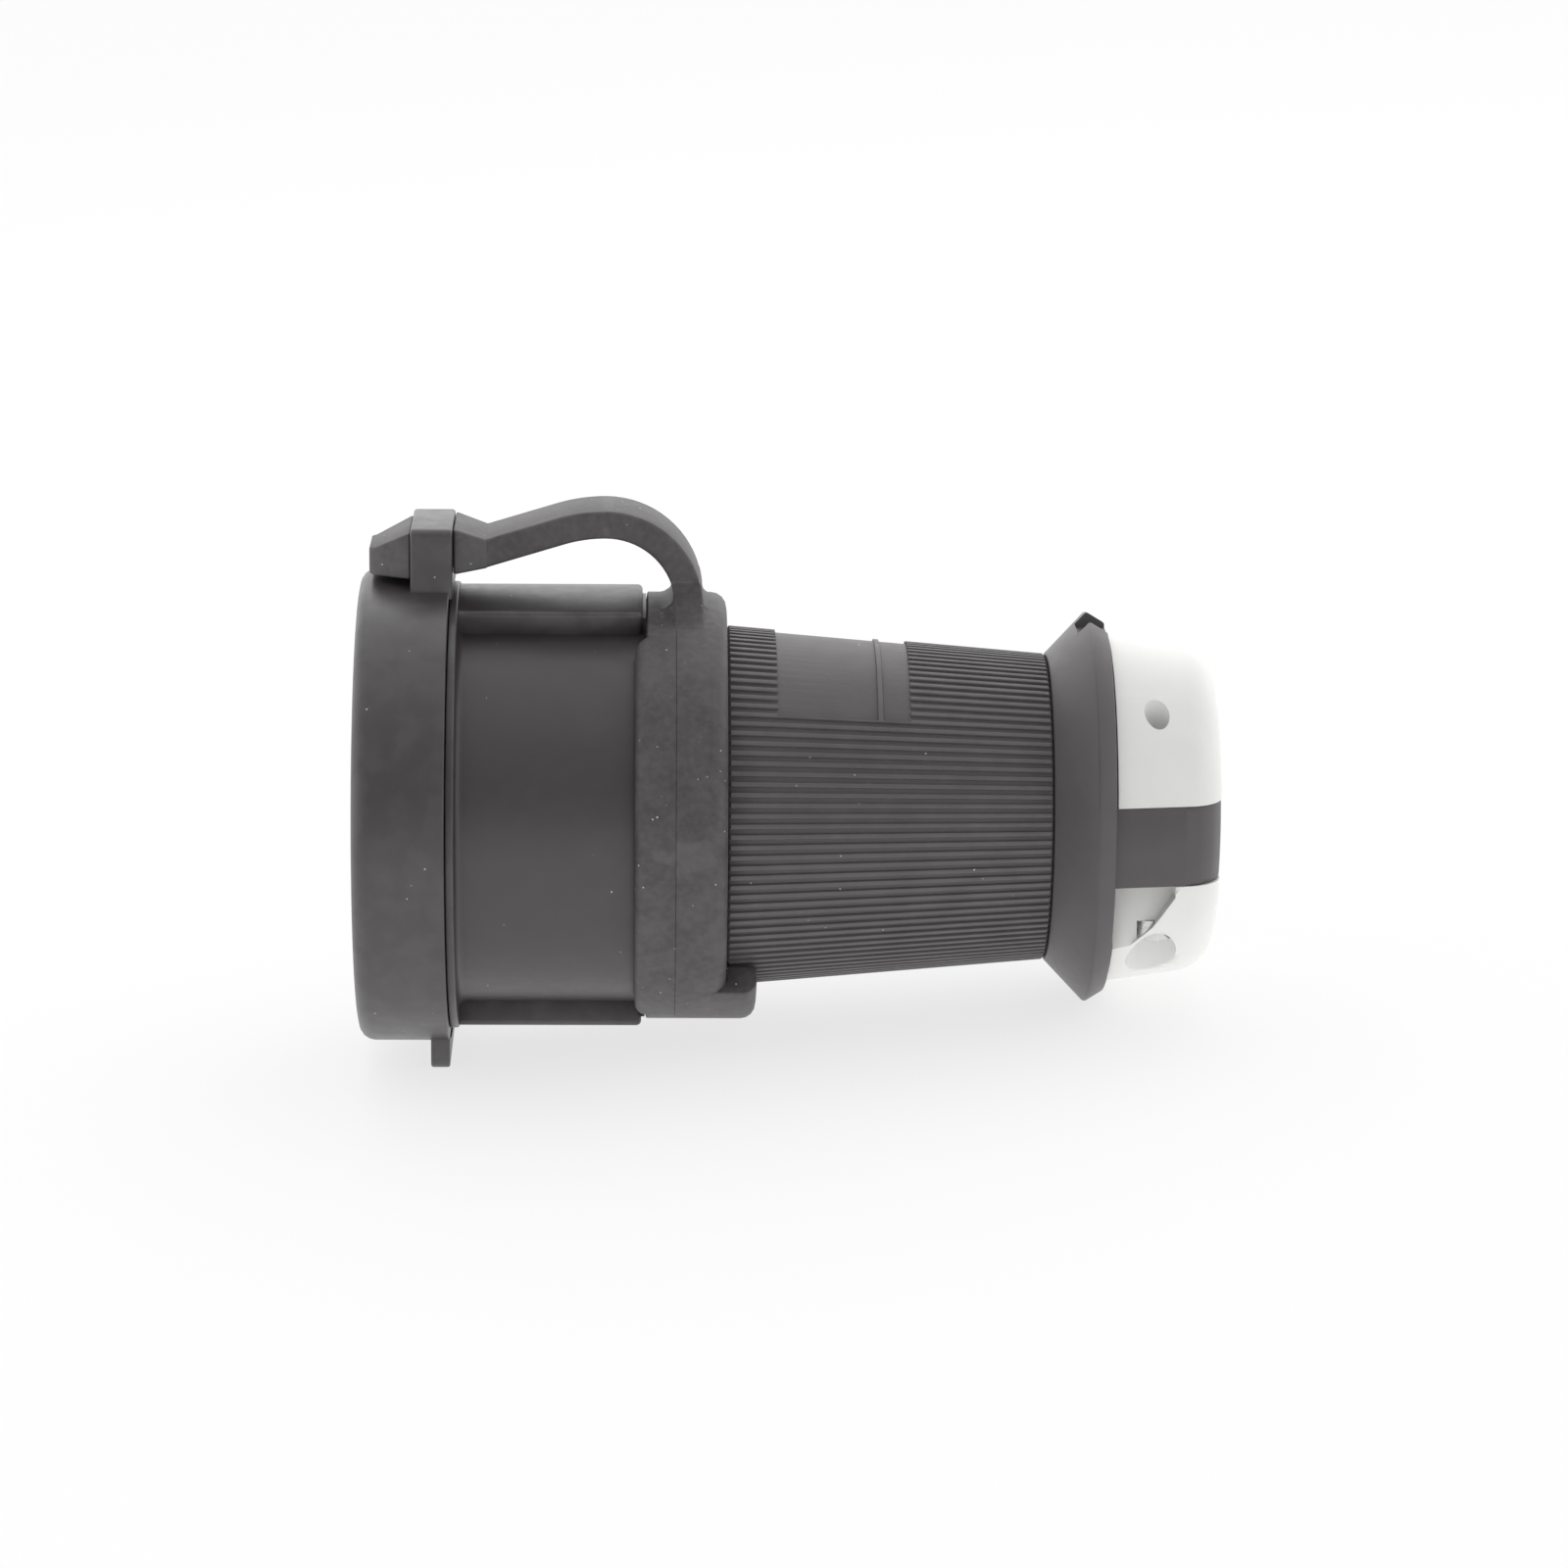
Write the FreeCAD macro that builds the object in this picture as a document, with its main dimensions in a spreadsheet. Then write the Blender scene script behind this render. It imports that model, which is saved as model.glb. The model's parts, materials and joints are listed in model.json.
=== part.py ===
import FreeCAD, Part
import math
import os
import re
import Sketcher

# In-line industrial cable coupler with a tethered closure cap and a two-jaw cord clamp.
# Millimetres. +X runs along the coupler from the cap to the cord clamp, +Z up through the
# tether's strap. The origin is the centre of the contact face, in the plane of the socket's rim.

# Dimensions, each written once: a number, or a formula in other dimensions where parts must fit
# each other. The drawing of each sub-part is bound to these cells.
SIZES = {
    # socket shroud: drum, stop flange and raised lands
    "drum_radius": "cap_radius - cap_side_wall - cap_ring_gap",
    "drum_wall": 2.2,
    "rim_length": 9.55,
    "flange_radius": "drum_radius + cap_ring_gap + flange_overlap",
    "flange_overlap": 0.7,
    "flange_thickness": 1.2,
    "flange_fillet": 1.1,
    "socket_depth": 26.0,
    "web_thickness": 3.0,
    "drum_length": 51.2,
    "drum_seat_wall": 3.1,
    "land_radius": "drum_radius + land_height",
    "land_height": 3.7,
    "land_half_width": 10.3,
    "land_tuck": 1.05,
    "land_end": "drum_length - collar_length + land_tuck",
    # contact carrier
    "nose_radius": "drum_radius - drum_wall - ring_width",
    "ring_width": 5.2,
    "nose_fit": 0.2,
    "nose_chamfer": 0.8,
    "carrier_flange_thickness": 3.0,
    "carrier_flange_fit": 0.4,
    "face_wall": 3.0,
    "pole_circle_radius": "nose_radius - pole_inset",
    "pole_inset": 6.6,
    "pocket_width": 4.0,
    "pocket_half_angle": 24.0,
    "slot_width": 2.0,
    "slot_half_angle": 20.0,
    "slot_foot_half_angle": 6.0,
    "slot_foot_depth": 1.6,
    "pole_count": 4,
    # contacts and terminals
    "leaf_thickness": 0.8,
    "leaf_gap": 2.3,
    "leaf_half_angle": 22.0,
    "contact_setback": 0.4,
    "tail_thickness": 1.4,
    "tail_half_angle": 8.0,
    "tail_reach": 11.0,
    "tail_fit": 0.15,
    "tail_slit_slack_angle": 2.0,
    "terminal_length": 8.0,
    "terminal_half_width": "pole_circle_radius * sin(tail_half_angle) + terminal_side_gap + terminal_wall",
    "terminal_side_gap": 0.3,
    "terminal_depth": 7.8,
    "terminal_wall": 1.4,
    "terminal_gap": 0.6,
    "terminal_screw_radius": 1.75,
    "terminal_screw_head_radius": 2.6,
    "terminal_screw_length": 4.6,
    "terminal_screw_head": 1.6,
    # carrier back plate and assembly screws
    "back_plate_thickness": 4.0,
    "back_plate_fit": 0.3,
    "screw_circle_radius": "nose_radius - screw_inset",
    "screw_inset": 4.1,
    "screw_circle_angle": 45.0,
    "screw_count": 2,
    "screw_radius": 1.75,
    "screw_head_radius": 3.1,
    "screw_head_thickness": 2.4,
    "screw_head_setback": 1.2,
    "screw_head_fit": 0.3,
    "screw_hole_fit": 0.15,
    "screw_engagement": 10.0,
    "screw_slot_width": 0.9,
    "screw_slot_depth": 1.1,
    # rear body: spigot, core under the grip, hand guard flare
    "spigot_fit": 0.2,
    "spigot_wall": 2.9,
    "boss_radius": "screw_radius + screw_hole_fit + boss_wall",
    "boss_wall": 3.7,
    "boss_length": 12.0,
    "core_wall": 2.7,
    "grip_front_radius": "drum_radius - grip_step",
    "grip_step": 2.5,
    "grip_rear_radius": "throat_radius + throat_step + core_wall + grip_thickness",
    "grip_length": 48.75,
    "grip_thickness": 2.2,
    "grip_fit": 0.1,
    "grip_end_gap": 0.15,
    "flare_radius": "flare_rim_radius + flare_bevel",
    "flare_bevel": 1.7,
    "flare_length": 6.15,
    "flare_rim_radius": "jaw_front_radius + flare_rim_step",
    "flare_rim_step": 1.5,
    "flare_rim_length": 2.8,
    "flare_notch_half_width": 5.5,
    "flare_notch_depth": 2.6,
    "flare_notch_length": 4.6,
    "end_wall": 3.6,
    # grip ribs and the plain panel on top
    "rib_count": 108,
    "rib_depth": 0.6,
    "rib_crest_share": 0.5,
    "panel_start": 7.3,
    "panel_length": 19.9,
    "panel_half_angle": 46.0,
    "panel_line_place": 15.0,
    "panel_line_width": 0.8,
    "panel_line_height": 0.35,
    # cable seal in the throat
    "cable_radius": 8.0,
    "cable_slack": 1.0,
    "grommet_radius": "cable_radius + grommet_wall",
    "grommet_wall": 8.4,
    "grommet_length": 10.0,
    "grommet_fit": 0.1,
    "grommet_lips": 3,
    "grommet_lip_slack": 0.2,
    "throat_radius": "grommet_radius + grommet_fit",
    "throat_step": 2.0,
    "gland_ring_radius": "throat_radius + throat_step - gland_ring_gap",
    "gland_ring_gap": 0.9,
    "gland_ring_thickness": 2.4,
    # weather gasket between drum and rear body
    "gasket_section_radius": 0.85,
    "gasket_groove_depth": 1.6,
    "gasket_groove_place": 6.0,
    "gasket_squeeze": 0.1,
    "gasket_corner_share": 0.42,
    # closure cap
    "cap_radius": 36.0,
    "cap_depth": 13.7,
    "cap_front_wall": 2.4,
    "cap_side_wall": 2.6,
    "cap_edge_round": 2.3,
    "cap_stop_gap": 0.15,
    "cap_ring_gap": 3.4,
    "seal_thickness": 1.8,
    "seal_outer_gap": 0.3,
    "seal_width": 6.6,
    "seal_rib_width": 2.0,
    "seal_rib_height": 1.5,
    "tab_thickness": 2.9,
    "tab_half_width": 12.6,
    "tab_reach": "cap_radius + tab_overhang",
    "tab_overhang": 2.5,
    "tab_corner_round": 1.4,
    # loop on top of the cap, with heights above the cap's side
    "lug_length": 5.75,
    "lug_overhang": 0.55,
    "lug_half_width": 8.7,
    "lug_height": "neck_height + neck_thickness / 2 + neck_slack + lug_top_wall",
    "lug_top_wall": 2.56,
    "lug_bevel": 1.2,
    "lug_clearance_height": 0.4,
    "lug_root_sink": 0.2,
    # tether: collar, strap and barb
    "collar_fit": 0.1,
    "collar_thickness": 2.5,
    "collar_length": 13.8,
    "collar_edge_round": 1.6,
    "collar_rear_round": 2.4,
    "collar_notch_depth": 1.9,
    "collar_notch_gap": 3.5,
    "tongue_length": 4.6,
    "tongue_corner_round": 2.2,
    "tongue_half_angle": 44.0,
    "tongue_grip_gap": 0.4,
    "strap_thickness": 4.2,
    "strap_width": 13.0,
    "strap_root_place": "drum_length - strap_root_inset",
    "strap_root_inset": 5.75,
    "strap_root_sink": 1.6,
    "strap_root_fillet": 2.6,
    "gusset_half_width": 13.6,
    "gusset_rise": 4.4,
    "gusset_low_knee_share": 0.35,
    "gusset_high_knee_share": 0.1,
    "gusset_high_knee_rise_share": 0.45,
    # strap's arch and barb, with heights above the cap's side
    "arch_rise_radius": 12.55,
    "arch_top_height": "neck_height + arch_lift",
    "arch_lift": 5.01,
    "arch_run": "strap_root_place - arch_rise_radius - foot_place",
    "arch_bend_share": 0.718,
    "arch_bend_radius": "arch_bend_share * (arch_run ^ 2 + arch_lift ^ 2) / (2 * arch_lift)",
    "arch_crown_share": 0.662,
    "arch_crown_radius": "arch_crown_share * arch_bend_radius",
    "arch_foot_radius": "(1 - arch_crown_share) * arch_bend_radius",
    "foot_place": "rim_length - cap_stop_gap + lug_overhang + shoulder_gap + foot_tuck",
    "foot_tuck": 1.15,
    "neck_height": 3.74,
    "neck_thickness": 3.6,
    "neck_width": 9.2,
    "neck_slack": 0.3,
    "shoulder_length": 5.3,
    "shoulder_low": "neck_height - shoulder_drop",
    "shoulder_drop": 2.54,
    "shoulder_high": "neck_height + shoulder_rise",
    "shoulder_rise": 4.46,
    "shoulder_width": 14.6,
    "shoulder_gap": 0.1,
    "shoulder_end_lift": 0.5,
    "barb_length": 6.2,
    "barb_gap": 0.1,
    "barb_rear_low": "neck_height - barb_rear_drop",
    "barb_rear_drop": 2.44,
    "barb_rear_high": "neck_height + barb_rear_rise",
    "barb_rear_rise": 3.86,
    "barb_rear_width": 16.8,
    "barb_rear_top_width": 14.2,
    "barb_front_low": "neck_height - barb_front_drop",
    "barb_front_drop": 2.14,
    "barb_front_high": "neck_height + barb_front_rise",
    "barb_front_rise": 1.56,
    "barb_front_width": 10.8,
    "barb_tip_length": 0.8,
    "barb_tip_inset": 0.9,
    # cord clamp jaws, screws and nuts
    "jaw_gap": 0.3,
    "jaw_length": 16.1,
    "jaw_front_radius": "clamp_screw_spread + jaw_screw_wall",
    "jaw_screw_wall": 9.0,
    "jaw_rear_radius": "jaw_front_radius - jaw_taper",
    "jaw_taper": 2.3,
    "jaw_end_round": 6.0,
    "jaw_slide_gap": 0.15,
    "jaw_side_gap": 0.3,
    "jaw_saddle_height": 2.5,
    "cheek_half_height": 6.0,
    "cheek_inner": "cable_radius + jaw_bore_wall",
    "jaw_bore_wall": 4.5,
    "clamp_screw_place": 6.1,
    "clamp_screw_spread": "cheek_inner + clamp_screw_inset",
    "clamp_screw_inset": 5.2,
    "clamp_screw_radius": 1.75,
    "clamp_screw_fit": 0.15,
    "clamp_head_radius": 3.3,
    "clamp_head_thickness": 3.0,
    "clamp_head_fit": 0.5,
    "clamp_ledge": 12.5,
    "clamp_screw_tip": 12.8,
    "relief_screw_wall": 2.9,
    "relief_length": 9.0,
    "relief_step_height": 8.0,
    "relief_waist_length": 5.9,
    "relief_waist_height": 13.1,
    "relief_foot_length": 1.4,
    "relief_foot_height": 17.6,
    "nut_width": 6.0,
    "nut_thickness": 2.6,
    "nut_fit": 0.15,
    "nut_thread_fit": 0.05,
}

doc = FreeCAD.newDocument("cable_coupler")
sheet = doc.addObject("Spreadsheet::Sheet", "Sizes")
for row, alias in enumerate(SIZES, start=1):
    sheet.set(f"A{row}", alias.replace("_", " "))
    sheet.setAlias(f"B{row}", alias)
for row, value in enumerate(SIZES.values(), start=1):
    sheet.set(f"B{row}", f"={value}" if isinstance(value, str) else str(value))
doc.recompute()

SUB_PARTS = []


def bound(text):
    """The same formula with each size's name pointing at its cell of the sheet."""
    return re.sub(r"[a-z_]+", lambda m: "Sizes." + m.group() if m.group() in SIZES else m.group(), text)


def number(text):
    """A formula's value with the sheet as it stands."""
    return float(sheet.evalExpression(bound(text)))


def origin_plane(body, role):
    """One of a body's own origin planes or axes."""
    return next(item for item in body.Origin.OriginFeatures if item.Role == role)


def new_body(label, along="0", turn="0"):
    """A body whose own X = 0 stands at `along` on the coupler's axis, turned about that axis."""
    body = doc.addObject("PartDesign::Body", label)
    body.Label = label
    body.AllowCompound = True
    body.setExpression("Placement.Base.x", bound(along))
    if turn != "0":
        body.Placement.Rotation = FreeCAD.Rotation(FreeCAD.Vector(1, 0, 0), 1)
        body.setExpression("Placement.Rotation.Angle", bound(turn))
    SUB_PARTS.append(body)
    doc.recompute()
    return body


def empty_sketch(body, name, role, offset):
    """A sketch on one of the body's origin planes, moved off it along its normal."""
    sketch = body.newObject("Sketcher::SketchObject", name)
    sketch.AttachmentSupport = [(origin_plane(body, role), "")]
    sketch.MapMode = "FlatFace"
    if offset != "0":
        sketch.setExpression("AttachmentOffset.Base.z", bound(offset))
    return sketch


def fix_point(sketch, geometry, end, place):
    """Dimensions a sketch point from the sketch's origin along both of its axes."""
    for axis, text, kind in ((-2, place[0], "DistanceX"), (-1, place[1], "DistanceY")):
        if text == "0":
            sketch.addConstraint(Sketcher.Constraint("PointOnObject", geometry, end, axis))
            continue
        index = sketch.addConstraint(
            Sketcher.Constraint(kind, -1, 1, geometry, end, number(text))
        )
        sketch.setExpression(f"Constraints[{index}]", bound(text))


def polygon_sketch(body, name, role, points, offset="0"):
    """A closed outline of straight lines through the given corners."""
    sketch = empty_sketch(body, name, role, offset)
    corners = [FreeCAD.Vector(number(across), number(up), 0) for across, up in points]
    count = len(corners)
    for index in range(count):
        sketch.addGeometry(Part.LineSegment(corners[index], corners[(index + 1) % count]), False)
    for index in range(count):
        sketch.addConstraint(Sketcher.Constraint("Coincident", index, 2, (index + 1) % count, 1))
    for index, place in enumerate(points):
        fix_point(sketch, index, 1, place)
    return sketch


def circle_sketch(body, name, role, centres, radius, offset="0"):
    """One circle of the given radius at each of the given centres."""
    sketch = empty_sketch(body, name, role, offset)
    for index, place in enumerate(centres):
        centre = FreeCAD.Vector(number(place[0]), number(place[1]), 0)
        circle = Part.Circle(centre, FreeCAD.Vector(0, 0, 1), number(radius))
        sketch.addGeometry(circle, False)
        fix_point(sketch, index, 3, place)
        size = sketch.addConstraint(Sketcher.Constraint("Radius", index, number(radius)))
        sketch.setExpression(f"Constraints[{size}]", bound(radius))
    return sketch


def settle(body, feature, grows):
    """Recomputes the body and makes sure that the feature really added or took away material."""
    before = body.Shape.Volume if not body.Shape.isNull() else 0.0
    body.Tip = feature
    doc.recompute()
    change = body.Shape.Volume - before
    if (change > 0) != grows:
        raise RuntimeError(f"{feature.Label} changed the volume by {change:.3f}")
    return feature


def turned(body, name, kind, points, sweep, grows):
    """Turns an outline about the coupler's axis, to add or to cut, over a full turn or a sweep."""
    sketch = polygon_sketch(body, name + "_outline", "XZ_Plane", points)
    feature = body.newObject(kind, name)
    feature.Profile = sketch
    feature.ReferenceAxis = (sketch, ["H_Axis"])
    feature.Angle = 360
    if sweep:
        feature.Midplane = True
        feature.setExpression("Angle", bound(sweep))
    return settle(body, feature, grows)


def revolve(body, name, points, sweep=None):
    """Turns an outline (place along the axis, radius) about the coupler's axis."""
    return turned(body, name, "PartDesign::Revolution", points, sweep, True)


def groove(body, name, points, sweep=None):
    """Cuts a turned outline out of the body, over the whole turn or a sweep centred on +Z."""
    return turned(body, name, "PartDesign::Groove", points, sweep, False)


def pad(body, name, sketch, length, centred=False):
    """Extrudes a sketch along its normal, or half of the length to each side of it."""
    feature = body.newObject("PartDesign::Pad", name)
    feature.Profile = sketch
    feature.Midplane = centred
    feature.setExpression("Length", bound(length))
    return settle(body, feature, True)


def pocket(body, name, sketch, length, forward=True):
    """Cuts a sketch's outline away, forward along the sketch's normal or against it."""
    feature = body.newObject("PartDesign::Pocket", name)
    feature.Profile = sketch
    feature.Reversed = forward
    feature.setExpression("Length", bound(length))
    return settle(body, feature, False)


def repeat(body, feature, count):
    """Repeats a feature evenly round the coupler's axis."""
    pattern = body.newObject("PartDesign::PolarPattern", feature.Name + "_round")
    pattern.Originals = [feature]
    pattern.Axis = (origin_plane(body, "X_Axis"), [""])
    pattern.Angle = 360
    pattern.setExpression("Occurrences", bound(count))
    body.Tip = pattern
    doc.recompute()
    return pattern


def round_edges(body, name, feature, keep, radius, kind="PartDesign::Fillet"):
    """Rounds or chamfers the edges of a feature that `keep` picks."""
    names = [f"Edge{i}" for i, edge in enumerate(feature.Shape.Edges, start=1) if keep(edge)]
    if not names:
        raise RuntimeError(f"{name} finds no edge")
    dress = body.newObject(kind, name)
    dress.Base = (feature, names)
    dress.setExpression("Size" if kind.endswith("Chamfer") else "Radius", bound(radius))
    body.Tip = dress
    doc.recompute()
    return dress


def ring_edge(place, radius):
    """Picks the whole circular edges of one radius at one place along the axis."""
    along = number(place)
    size = number(radius)

    def keep(edge):
        curve = edge.Curve
        if not isinstance(curve, Part.Circle) or edge.Length < 2 * math.pi * size * 0.9:
            return False
        return abs(curve.Radius - size) < 1e-3 and abs(curve.Center.x - along) < 1e-3

    return keep


# Places along the coupler's axis that several sub-parts share
WEB_BACK = "(socket_depth + web_thickness)"
BODY_START = "(socket_depth + web_thickness + back_plate_thickness)"
FLARE_END = "(drum_length + grip_length + flare_length + flare_rim_length)"
JAW_START = "(drum_length + grip_length + flare_length + flare_rim_length + jaw_gap)"
BORE = "(drum_radius - drum_wall)"
SEAT = "(drum_radius - drum_seat_wall)"
CORE_FRONT = "(grip_front_radius - grip_thickness)"
CORE_REAR = "(grip_rear_radius - grip_thickness)"
COLLAR_RADIUS = "(drum_radius + collar_fit + collar_thickness)"
CAP_REAR = "(rim_length - cap_stop_gap)"
NECK = "(cap_radius + neck_height)"

# How far the middle of a quarter round lies inside its corner, as a share of its radius
QUARTER_DEPTH = "(1 - sqrt(0.5))"
CAP_FRONT = "(rim_length - cap_stop_gap - cap_depth)"


def make_socket_shroud():
    """Drum with its stop flange, inner web and the two raised lands."""
    body = new_body("socket_shroud")
    flange_rear = "rim_length + flange_thickness"
    hollow = f"{QUARTER_DEPTH} * flange_fillet"
    revolve(
        body,
        "drum",
        [
            ("0", BORE),
            ("0", "drum_radius"),
            ("rim_length", "drum_radius"),
            ("rim_length", "flange_radius"),
            (flange_rear, "flange_radius"),
            (flange_rear, "drum_radius + flange_fillet"),
            (f"{flange_rear} + {hollow}", f"drum_radius + {hollow}"),
            (f"{flange_rear} + flange_fillet", "drum_radius"),
            ("drum_length", "drum_radius"),
            ("drum_length", SEAT),
            (WEB_BACK, SEAT),
            (WEB_BACK, "nose_radius + nose_fit"),
            ("socket_depth", "nose_radius + nose_fit"),
            ("socket_depth", BORE),
        ],
    )
    land = revolve(
        body,
        "land",
        [
            ("rim_length + flange_thickness / 2", "drum_radius - drum_wall / 2"),
            ("rim_length + flange_thickness / 2", "land_radius"),
            ("land_end", "land_radius"),
            ("land_end", "drum_radius - drum_wall / 2"),
        ],
        "2 * asin(land_half_width / land_radius)",
    )
    repeat(body, land, "2")
    return body


def make_contact_carrier():
    """Insulating nose with a slotted face, open at the back for the contacts."""
    body = new_body("contact_carrier")
    nose = revolve(
        body,
        "nose",
        [
            ("0", "0"),
            ("0", "nose_radius"),
            ("socket_depth - carrier_flange_thickness", "nose_radius"),
            ("socket_depth - carrier_flange_thickness", BORE + " - carrier_flange_fit"),
            ("socket_depth", BORE + " - carrier_flange_fit"),
            ("socket_depth", "nose_radius"),
            (WEB_BACK, "nose_radius"),
            (WEB_BACK, "0"),
        ],
    )
    front_edge = ring_edge("0", "nose_radius")
    round_edges(body, "nose_edge", nose, front_edge, "nose_chamfer", "PartDesign::Chamfer")
    pockets = groove(
        body,
        "contact_pocket",
        [
            ("face_wall", "pole_circle_radius - pocket_width / 2"),
            ("face_wall", "pole_circle_radius + pocket_width / 2"),
            (WEB_BACK, "pole_circle_radius + pocket_width / 2"),
            (WEB_BACK, "pole_circle_radius - pocket_width / 2"),
        ],
        "2 * pocket_half_angle",
    )
    repeat(body, pockets, "pole_count")
    slots = groove(
        body,
        "blade_slot",
        [
            ("0", "pole_circle_radius - slot_width / 2"),
            ("0", "pole_circle_radius + slot_width / 2"),
            ("face_wall", "pole_circle_radius + slot_width / 2"),
            ("face_wall", "pole_circle_radius - slot_width / 2"),
        ],
        "2 * slot_half_angle",
    )
    repeat(body, slots, "pole_count")
    groove(
        body,
        "ground_slot_foot",
        [
            ("0", "pole_circle_radius - slot_width / 2 - slot_foot_depth"),
            ("0", "pole_circle_radius"),
            ("face_wall", "pole_circle_radius"),
            ("face_wall", "pole_circle_radius - slot_width / 2 - slot_foot_depth"),
        ],
        "2 * slot_foot_half_angle",
    )
    cut_screw_holes(body, WEB_BACK)
    heads = circle_sketch(
        body, "head_recess_outline", "YZ_Plane", screw_centres(), "screw_head_radius + screw_head_fit"
    )
    pocket(body, "head_recess", heads, "screw_head_setback + screw_head_thickness")
    return body


def screw_centres():
    """Centres of the assembly screws, opposite each other on their circle."""
    across = "screw_circle_radius * sin(screw_circle_angle)"
    up = "screw_circle_radius * cos(screw_circle_angle)"
    return [(across, up), ("-" + across, "-" + up)]


def cut_screw_holes(body, length):
    """Clearance holes for the assembly screws, from the body's front."""
    holes = circle_sketch(
        body, "screw_hole_outline", "YZ_Plane", screw_centres(), "screw_radius + screw_hole_fit"
    )
    pocket(body, "screw_hole", holes, length)


def make_carrier_back():
    """Plate that closes the carrier's pockets, with a slit for each contact's tail."""
    body = new_body("carrier_back", WEB_BACK)
    revolve(
        body,
        "plate",
        [
            ("0", "0"),
            ("0", SEAT + " - back_plate_fit"),
            ("back_plate_thickness", SEAT + " - back_plate_fit"),
            ("back_plate_thickness", "0"),
        ],
    )
    slit = groove(
        body,
        "tail_slit",
        [
            ("0", "pole_circle_radius - tail_thickness / 2 - tail_fit"),
            ("0", "pole_circle_radius + tail_thickness / 2 + tail_fit"),
            ("back_plate_thickness", "pole_circle_radius + tail_thickness / 2 + tail_fit"),
            ("back_plate_thickness", "pole_circle_radius - tail_thickness / 2 - tail_fit"),
        ],
        "2 * tail_half_angle + tail_slit_slack_angle",
    )
    repeat(body, slit, "pole_count")
    cut_screw_holes(body, "back_plate_thickness")
    return body


def make_contact(label, index):
    """Folded brass contact: two curved leaves on a base, and a tail for the terminal."""
    body = new_body(label, "face_wall + contact_setback", f"{index} * 360 / pole_count")
    length = f"({WEB_BACK} - face_wall - contact_setback)"
    inner = "pole_circle_radius - leaf_gap / 2"
    outer = "pole_circle_radius + leaf_gap / 2"
    revolve(
        body,
        "leaves",
        [
            ("0", inner + " - leaf_thickness"),
            ("0", inner),
            (length + " - leaf_thickness", inner),
            (length + " - leaf_thickness", outer),
            ("0", outer),
            ("0", outer + " + leaf_thickness"),
            (length, outer + " + leaf_thickness"),
            (length, inner + " - leaf_thickness"),
        ],
        "2 * leaf_half_angle",
    )
    end = f"({length} + back_plate_thickness + tail_reach)"
    revolve(
        body,
        "tail",
        [
            (length + " - leaf_thickness / 2", "pole_circle_radius - tail_thickness / 2"),
            (length + " - leaf_thickness / 2", "pole_circle_radius + tail_thickness / 2"),
            (end, "pole_circle_radius + tail_thickness / 2"),
            (end, "pole_circle_radius - tail_thickness / 2"),
        ],
        "2 * tail_half_angle",
    )
    return body


def terminal_floor():
    """Radius of the terminal clamp's inner wall, set by the contact's tail that it holds."""
    return "(pole_circle_radius + tail_thickness / 2 + tail_fit + terminal_wall - terminal_depth)"


def make_terminal_clamp(label, index):
    """Box clamp round a contact's tail, open along the axis for the conductor."""
    body = new_body(label, BODY_START + " + terminal_gap", f"{index} * 360 / pole_count")
    low = terminal_floor()
    outline = polygon_sketch(
        body,
        "clamp_outline",
        "YZ_Plane",
        [
            ("-terminal_half_width", low),
            ("terminal_half_width", low),
            ("terminal_half_width", low + " + terminal_depth"),
            ("-terminal_half_width", low + " + terminal_depth"),
        ],
    )
    pad(body, "clamp_box", outline, "terminal_length")
    window = polygon_sketch(
        body,
        "clamp_window_outline",
        "YZ_Plane",
        [
            ("terminal_wall - terminal_half_width", low + " + terminal_wall"),
            ("terminal_half_width - terminal_wall", low + " + terminal_wall"),
            ("terminal_half_width - terminal_wall", low + " + terminal_depth - terminal_wall"),
            ("terminal_wall - terminal_half_width", low + " + terminal_depth - terminal_wall"),
        ],
    )
    pocket(body, "clamp_window", window, "terminal_length")
    hole = circle_sketch(
        body,
        "clamp_screw_hole_outline",
        "XY_Plane",
        [("terminal_length / 2", "0")],
        "terminal_screw_radius + nut_thread_fit",
        low + " + terminal_depth - terminal_wall",
    )
    pocket(body, "clamp_screw_hole", hole, "terminal_wall")
    return body


def make_terminal_screws():
    """One wire-clamping screw at each terminal, driven from outside."""
    body = new_body("terminal_screws", BODY_START + " + terminal_gap")
    tip = "(pole_circle_radius + tail_thickness / 2 + tail_fit / 2)"
    place = [("terminal_length / 2", "0")]
    shank = circle_sketch(body, "shank_outline", "XY_Plane", place, "terminal_screw_radius", tip)
    shaft = pad(body, "shank", shank, "terminal_screw_length")
    top = circle_sketch(
        body,
        "head_outline",
        "XY_Plane",
        place,
        "terminal_screw_head_radius",
        tip + " + terminal_screw_length",
    )
    head = pad(body, "head", top, "terminal_screw_head")
    pattern = repeat(body, shaft, "pole_count")
    pattern.Originals = [shaft, head]
    doc.recompute()
    return body


def make_assembly_screws():
    """Two long screws that draw the carrier, the drum's web and the rear body together."""
    body = new_body("assembly_screws", "screw_head_setback")
    reach = f"({BODY_START} + screw_engagement - screw_head_setback)"
    heads = circle_sketch(body, "heads_outline", "YZ_Plane", screw_centres(), "screw_head_radius")
    pad(body, "heads", heads, "screw_head_thickness")
    shanks = circle_sketch(body, "shanks_outline", "YZ_Plane", screw_centres(), "screw_radius")
    pad(body, "shanks", shanks, reach)
    across, up = screw_centres()[0]
    slot = polygon_sketch(
        body,
        "driver_slot_outline",
        "YZ_Plane",
        [
            (across + " - screw_slot_width / 2", up + " - screw_head_radius"),
            (across + " + screw_slot_width / 2", up + " - screw_head_radius"),
            (across + " + screw_slot_width / 2", up + " + screw_head_radius"),
            (across + " - screw_slot_width / 2", up + " + screw_head_radius"),
        ],
    )
    cut = pocket(body, "driver_slot", slot, "screw_slot_depth")
    repeat(body, cut, "screw_count")
    return body


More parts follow.
